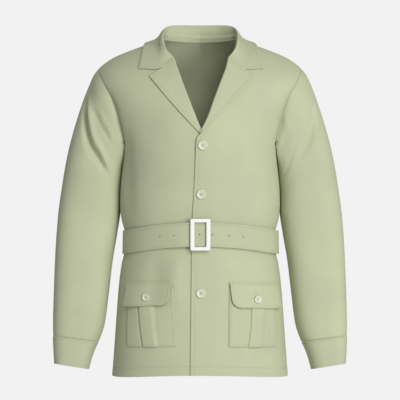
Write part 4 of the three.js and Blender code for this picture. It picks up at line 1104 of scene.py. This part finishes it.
def strapPoint(degrees, rim):
    lap = np.where(degrees > 180, degrees - 360, degrees)
    behind = np.abs(lap) > 90
    facing = np.where(behind, 1, -1)
    turn = np.radians(np.where(behind, np.sign(lap) * (180 - np.abs(lap)), lap))
    rise = np.where(behind, belt["backRise"], belt["frontRise"])
    z = belt["sideLevel"] + rise * np.cos(turn) ** 2
    # flat from rim to rim, so it bridges the hollow of the waist
    foot, top = (torsoPoint(turn, z + way * belt["height"] / 2, facing) for way in (-1, 1))
    p = blend(foot, top, (rim[..., None] + 1) / 2)
    along = torsoPoint(turn + 0.01, z, facing) - torsoPoint(turn - 0.01, z, facing)
    off = unit(stack(along[..., 1], -along[..., 0], 0)) * -facing[..., None]
    onFrontEdge = np.where(behind, 0, torso["overlapLift"] * (1 - smooth(24, 90, np.abs(p[..., 0]))))
    outerLayer = (belt["thickness"] + 0.7) * smooth(318, 352, degrees)
    overBar = 0.7 * hump(degrees - 360, 4)
    return p + off * (belt["clearance"] + belt["thickness"] + onFrontEdge + outerLayer + overBar)[..., None]


def eyeletDegrees(x):
    return 360 + math.degrees(math.asin(x / float(halfWidth(-428))))


def beltPlace(u, v):
    return strapPoint(blend(belt["start"], belt["tailEnd"], u), 2 * v - 1)


def beltRelief(cloth):
    press = stitchPress(cloth, cloth.fromFoot, cloth.fromLeft, belt["edgeStitch"], 0.3, 91)
    press = press + stitchPress(cloth, cloth.fromTop, cloth.fromLeft, belt["edgeStitch"], 0.3, 93)
    press = press + stitchPress(cloth, cloth.fromRight, cloth.fromFoot, belt["edgeStitch"], 0.3, 95)
    degrees = blend(belt["start"], belt["tailEnd"], cloth.u)
    for x in belt["eyelets"]:
        across = (degrees - eyeletDegrees(x)) * math.radians(1) * 125
        away = np.hypot(across, (cloth.v - 0.5) * belt["height"])
        press = press - 0.5 * hump(away, 3.2)
    return press


eyeletShares = [(eyeletDegrees(x) - belt["start"]) / (belt["tailEnd"] - belt["start"]) for x in belt["eyelets"]]
beltPiece = layCloth("beltStrap", "belt", beltPlace, belt["columns"], belt["rows"],
                     near=([(share, 0.004, 1.5) for share in eyeletShares], ((0, 0.06, 0.8), (1, 0.06, 0.8), (0.5, 0.06, 0.8))),
                     relief=beltRelief, thickness=2.2,
                     sewn=[("foot", belt["edgeStitch"], 2, 4), ("top", belt["edgeStitch"], 2, 4), ("right", belt["edgeStitch"], 4, 4)])


def placeOn(point, normal, bm):
    # turns a part made flat at the origin, facing up, so that it stands on a point of the cloth
    turn = Vector((0, 0, 1)).rotation_difference(Vector(normal)).to_matrix().to_4x4()
    bmesh.ops.transform(bm, matrix=Matrix.Translation(Vector(point)) @ turn, verts=bm.verts)


def spunRing(bm, radius, half, steps=20, sides=8):
    # a round ring of thread or metal about Z, from a circle spun round
    made = bmesh.ops.create_circle(bm, cap_ends=False, segments=sides, radius=half)
    verts = made["verts"]
    bmesh.ops.rotate(bm, verts=verts, cent=(0, 0, 0), matrix=Matrix.Rotation(math.pi / 2, 3, "X"))
    bmesh.ops.translate(bm, verts=verts, vec=(radius, 0, 0))
    edges = list({edge for vert in verts for edge in vert.link_edges})
    bmesh.ops.spin(bm, geom=verts + edges, cent=(0, 0, 0), axis=(0, 0, 1), angle=2 * math.pi, steps=steps, use_merge=True)
    bmesh.ops.recalc_face_normals(bm, faces=bm.faces)


def toPiece(bm, name, material, node=None):
    bmesh.ops.scale(bm, vec=(mm, mm, mm), verts=bm.verts)
    mesh = bpy.data.meshes.new(name)
    bm.to_mesh(mesh)
    bm.free()
    mesh.shade_smooth()
    return link(mesh, name, material, node)


def makeEyelets():
    rings, holes = bmesh.new(), bmesh.new()
    for x in belt["eyelets"]:
        degrees = np.array(eyeletDegrees(x))
        point = strapPoint(degrees, np.array(0.0))
        normal = unit(stack(*(point - strapPoint(degrees, np.array(0.0)) + np.array((0, -1, 0)))))
        ring = bmesh.new()
        spunRing(ring, belt["eyeletRadius"] + 0.45, 0.42)
        placeOn(point + normal * -0.35, normal, ring)
        # a dark disc inside each ring: painted shade in place of a hole
        hole = bmesh.new()
        bmesh.ops.create_circle(hole, cap_ends=True, segments=20, radius=belt["eyeletRadius"] + 0.3)
        placeOn(point + normal * -0.25, normal, hole)
        for part, whole in ((ring, rings), (hole, holes)):
            scratch = bpy.data.meshes.new("scratch")
            part.to_mesh(scratch)
            part.free()
            whole.from_mesh(scratch)
            bpy.data.meshes.remove(scratch)
    return [toPiece(rings, "beltEyeletRings", threadFinish), toPiece(holes, "beltEyeletShades", eyeletShadeFinish)]


eyelets = makeEyelets()
print("belt laid")


# buckle

buckle = {"x": 0.7, "z": -428, "width": 42, "height": 67, "bar": 8.4, "windowExtra": 2.2, "depth": 4, "corner": 3,
          "windowCorner": 1.5, "edgeRound": 1.1, "postBack": 6.6, "barThickness": 2.8}


def cornerEdges(bm, inside):
    # the upright edges at the corners of the frame or of its window
    limit = buckle["width"] / 2 - buckle["bar"] / 2
    return [e for e in bm.edges if abs(e.verts[0].co.z - e.verts[1].co.z) > 1
            and (abs(e.verts[0].co.x) < limit) == inside]


def makeBuckle():
    bm = bmesh.new()
    bmesh.ops.create_grid(bm, x_segments=1, y_segments=1, size=0.5)
    bmesh.ops.scale(bm, vec=(buckle["width"], buckle["height"], 1), verts=bm.verts)
    bmesh.ops.inset_region(bm, faces=list(bm.faces), thickness=buckle["bar"], use_boundary=True, use_even_offset=True)
    window = [f for f in bm.faces if all(abs(v.co.x) < buckle["width"] / 2 - 1 for v in f.verts)]
    for vert in window[0].verts:
        vert.co.y += math.copysign(buckle["windowExtra"] / 2, vert.co.y)
    bmesh.ops.delete(bm, geom=window, context="FACES_ONLY")
    grown = bmesh.ops.extrude_face_region(bm, geom=list(bm.faces))
    bmesh.ops.translate(bm, vec=(0, 0, buckle["depth"]),
                        verts=[item for item in grown["geom"] if isinstance(item, bmesh.types.BMVert)])
    bmesh.ops.recalc_face_normals(bm, faces=bm.faces)
    for inside, radius in ((False, buckle["corner"]), (True, buckle["windowCorner"])):
        bmesh.ops.bevel(bm, geom=cornerEdges(bm, inside), offset=radius, segments=6, profile=0.5,
                        affect="EDGES", material=-1)
    rims = [e for e in bm.edges if len(e.link_faces) == 2 and e.calc_face_angle(0) > 1.2
            and abs(e.verts[0].co.z - e.verts[1].co.z) < 0.01]
    bmesh.ops.bevel(bm, geom=rims, offset=buckle["edgeRound"], segments=4, profile=0.5, affect="EDGES", material=-1)
    # posts above and below carry the hidden bar behind the strap
    windowHeight = buckle["height"] - 2 * buckle["bar"] + buckle["windowExtra"]
    postHeight = (buckle["height"] - windowHeight) / 2 - 1.4
    postPlace = windowHeight / 2 + 0.3 + postHeight / 2
    for sizes, at in (((6, postHeight, buckle["postBack"]), (0, postPlace, -buckle["postBack"] / 2 + 0.5)),
                      ((6, postHeight, buckle["postBack"]), (0, -postPlace, -buckle["postBack"] / 2 + 0.5)),
                      ((5, windowHeight + postHeight, buckle["barThickness"]),
                       (0, 0, -buckle["postBack"] + 0.2 + buckle["barThickness"] / 2))):
        cube = bmesh.ops.create_cube(bm, size=1)["verts"]
        bmesh.ops.scale(bm, vec=sizes, verts=cube)
        bmesh.ops.translate(bm, vec=at, verts=cube)
        edges = list({edge for vert in cube for edge in vert.link_edges})
        bmesh.ops.bevel(bm, geom=edges, offset=0.5, segments=2, profile=0.5, affect="EDGES", material=-1)
    # stood up to face the front, leaning with the strap
    foot, top = (strapPoint(np.array(360.0), np.array(rim))[[1, 2]] for rim in (-1.0, 1.0))
    lean = math.atan2(top[0] - foot[0], top[1] - foot[1])
    middleY = blend(foot[0], top[0], (buckle["z"] - foot[1]) / (top[1] - foot[1]))
    stand = Matrix.Rotation(-lean, 4, "X") @ Matrix.Rotation(math.pi / 2, 4, "X")
    bmesh.ops.transform(bm, matrix=Matrix.Translation((buckle["x"], middleY - 2.4 + 0.9, buckle["z"])) @ stand, verts=bm.verts)
    piece = toPiece(bm, "slideBuckle", buckleFinish, "buckle")
    return piece


buckleModel = makeBuckle()
print("buckle made")


# buttons

buttons = {
    "front": {"radius": 10, "thickness": 3}, "flap": {"radius": 8.3, "thickness": 2.6},
    "frontPlaces": [(5.9, -240), (2.7, -343), (2.1, -552)],
    # share of the radius and of the thickness, from the middle of the back to the middle of the face
    "profile": [(0, 0), (0.78, 0), (0.9, 0.06), (0.97, 0.2), (1, 0.42), (1, 0.6), (0.985, 0.8), (0.945, 0.94), (0.89, 1.0),
                (0.83, 1.0), (0.77, 0.95), (0.71, 0.84), (0.65, 0.7), (0.58, 0.62), (0.5, 0.585), (0.3, 0.565), (0, 0.56)],
    "holePlace": 0.22, "holeRadius": 0.095, "thread": 0.75,
}


def makeButton(name, node, size, point, normal):
    radius, thickness = size["radius"], size["thickness"]
    bm = bmesh.new()
    verts = [bm.verts.new((r * radius, 0, h * thickness)) for r, h in buttons["profile"]]
    edges = [bm.edges.new(pair) for pair in zip(verts, verts[1:])]
    bmesh.ops.spin(bm, geom=verts + edges, cent=(0, 0, 0), axis=(0, 0, 1), angle=2 * math.pi, steps=64, use_merge=True)
    bmesh.ops.remove_doubles(bm, verts=bm.verts, dist=0.0005)
    bmesh.ops.recalc_face_normals(bm, faces=bm.faces)
    body = bpy.data.meshes.new(name)
    bm.to_mesh(body)
    bm.free()
    drill = bmesh.new()
    for quarter in range(4):
        angle = math.pi / 4 + quarter * math.pi / 2
        made = bmesh.ops.create_cone(drill, cap_ends=True, segments=20, radius1=buttons["holeRadius"] * radius,
                                     radius2=buttons["holeRadius"] * radius, depth=thickness * 4)["verts"]
        bmesh.ops.translate(drill, verts=made, vec=(buttons["holePlace"] * radius * math.cos(angle),
                                                    buttons["holePlace"] * radius * math.sin(angle), 0))
    drillMesh = bpy.data.meshes.new("drill")
    drill.to_mesh(drillMesh)
    drill.free()
    blank, cutter = bpy.data.objects.new("blank", body), bpy.data.objects.new("cutter", drillMesh)
    for item in (blank, cutter):
        bpy.context.scene.collection.objects.link(item)
    cut = blank.modifiers.new("holes", "BOOLEAN")
    cut.object, cut.operation, cut.solver = cutter, "DIFFERENCE", "EXACT"
    bpy.context.view_layer.update()
    drilled = bpy.data.meshes.new_from_object(blank.evaluated_get(bpy.context.evaluated_depsgraph_get()))
    for item in (blank, cutter):
        bpy.data.objects.remove(item)
    for used in (body, drillMesh):
        bpy.data.meshes.remove(used)
    bm = bmesh.new()
    bm.from_mesh(drilled)
    bpy.data.meshes.remove(drilled)
    for edge in bm.edges:
        edge.smooth = edge.calc_face_angle(0) < 0.7
    placeOn(point, normal, bm)
    piece = toPiece(bm, name, pearlFinish, node)
    # two crossed runs of thread through the four holes
    strands = bmesh.new()
    reach = buttons["holePlace"] * radius
    for k, angle in enumerate((math.pi / 4, -math.pi / 4)):
        for shift in (-0.3, 0.3):
            made = bmesh.ops.create_cone(strands, cap_ends=True, segments=8, radius1=buttons["thread"] / 2.6,
                                         radius2=buttons["thread"] / 2.6, depth=2 * reach)["verts"]
            bmesh.ops.rotate(strands, verts=made, cent=(0, 0, 0), matrix=Matrix.Rotation(math.pi / 2, 3, "Y"))
            bmesh.ops.translate(strands, verts=made, vec=(0, shift, 0.62 * thickness + 0.3 * k))
            bmesh.ops.rotate(strands, verts=made, cent=(0, 0, 0), matrix=Matrix.Rotation(angle, 3, "Z"))
    placeOn(point, normal, strands)
    return piece, toPiece(strands, name + "Thread", threadFinish)


for n, (x, z) in enumerate(buttons["frontPlaces"], 1):
    x, z = np.array(float(x)), np.array(float(z))
    makeButton(f"frontButton{n}", f"front_button_{n}", buttons["front"], onFront(1, x, z, torso["seamGap"]), frontNormal(1, x, z))
for side, word in sides.items():
    x, z = (np.array(float(value)) for value in flaps[side]["button"])
    down = (flaps[side]["top"] - z) / (flaps[side]["top"] - flaps[side]["foot"])
    makeButton(f"flapButton{word.title()}", f"flap_button_{word}", buttons["flap"],
               onFront(side, x, z, flapHeight(down) + torso["seamGap"]), frontNormal(side, x, z))
print("buttons made")


print("studio")


# studio

studio = {
    "camera": (0, -3.2, -0.355), "lens": 130.909, "paper": 0.887, "fillShare": 0.36,
    "floor": -1.5, "floorSize": 3.4,
}


def makeStudio():
    camera = bpy.data.objects.new("camera", bpy.data.cameras.new("camera"))
    camera.location, camera.rotation_euler = studio["camera"], (math.pi / 2, 0, 0)
    camera.data.lens, camera.data.sensor_width = studio["lens"], 36
    bpy.context.scene.collection.objects.link(camera)
    bpy.context.scene.camera = camera
    bm = bmesh.new()
    bmesh.ops.create_grid(bm, x_segments=1, y_segments=1, size=studio["floorSize"])
    bmesh.ops.translate(bm, vec=(0, 0, studio["floor"]), verts=bm.verts)
    mesh = bpy.data.meshes.new("floor")
    bm.to_mesh(mesh)
    bm.free()
    floor = bpy.data.objects.new("floor", mesh)
    bpy.context.scene.collection.objects.link(floor)
    material, tree, shader = newMaterial("pale studio floor")
    place = addNode(tree, "TexCoord").outputs["Object"]
    mottle = addNode(tree, "TexNoise", Vector=place, Scale=3.0, Detail=3.0).outputs["Fac"]
    tree.links.new(mixColour(tree, "MIX", mottle, (0.80, 0.80, 0.80, 1), (0.84, 0.84, 0.84, 1)), shader.inputs["Base Color"])
    shader.inputs["Roughness"].default_value = 0.9
    mesh.materials.append(material)
    world = bpy.data.worlds.new("studio")
    bpy.context.scene.world = world
    world.use_nodes = True
    tree = world.node_tree
    tree.nodes.clear()
    seen = addNode(tree, "Background", Color=(1, 1, 1, 1), Strength=studio["paper"])
    fill = addNode(tree, "Background", Color=(1, 1, 1, 1), Strength=studio["paper"] * studio["fillShare"])
    ray = addNode(tree, "LightPath")
    mix = addNode(tree, "MixShader", _0=ray.outputs["Is Camera Ray"], _1=fill.outputs[0], _2=seen.outputs[0])
    out = addNode(tree, "OutputWorld")
    tree.links.new(mix.outputs[0], out.inputs[0])


lights = [
    # name, place, aimed at, width, height, power
    ("key", (2.13, -5.86, 3.22), (0, 0, -0.38), 2.6, 2.6, 200),
    ("side", (3.92, -6.04, -0.38), (0, 0, -0.38), 2.6, 2.6, 212),
]


def makeLights():
    for name, place, aim, width, height, power in lights:
        data = bpy.data.lights.new(name, "AREA")
        data.shape, data.size, data.size_y, data.energy = "RECTANGLE", width, height, power
        lamp = bpy.data.objects.new(name, data)
        lamp.location = place
        lamp.rotation_euler = (Vector(aim) - Vector(place)).to_track_quat("-Z", "Y").to_euler()
        bpy.context.scene.collection.objects.link(lamp)


makeStudio()
makeLights()
bpy.context.scene.view_settings.view_transform = "Standard"
print("studio lit")


# a name for each side


for side, word in sides.items():
    name = word.title()
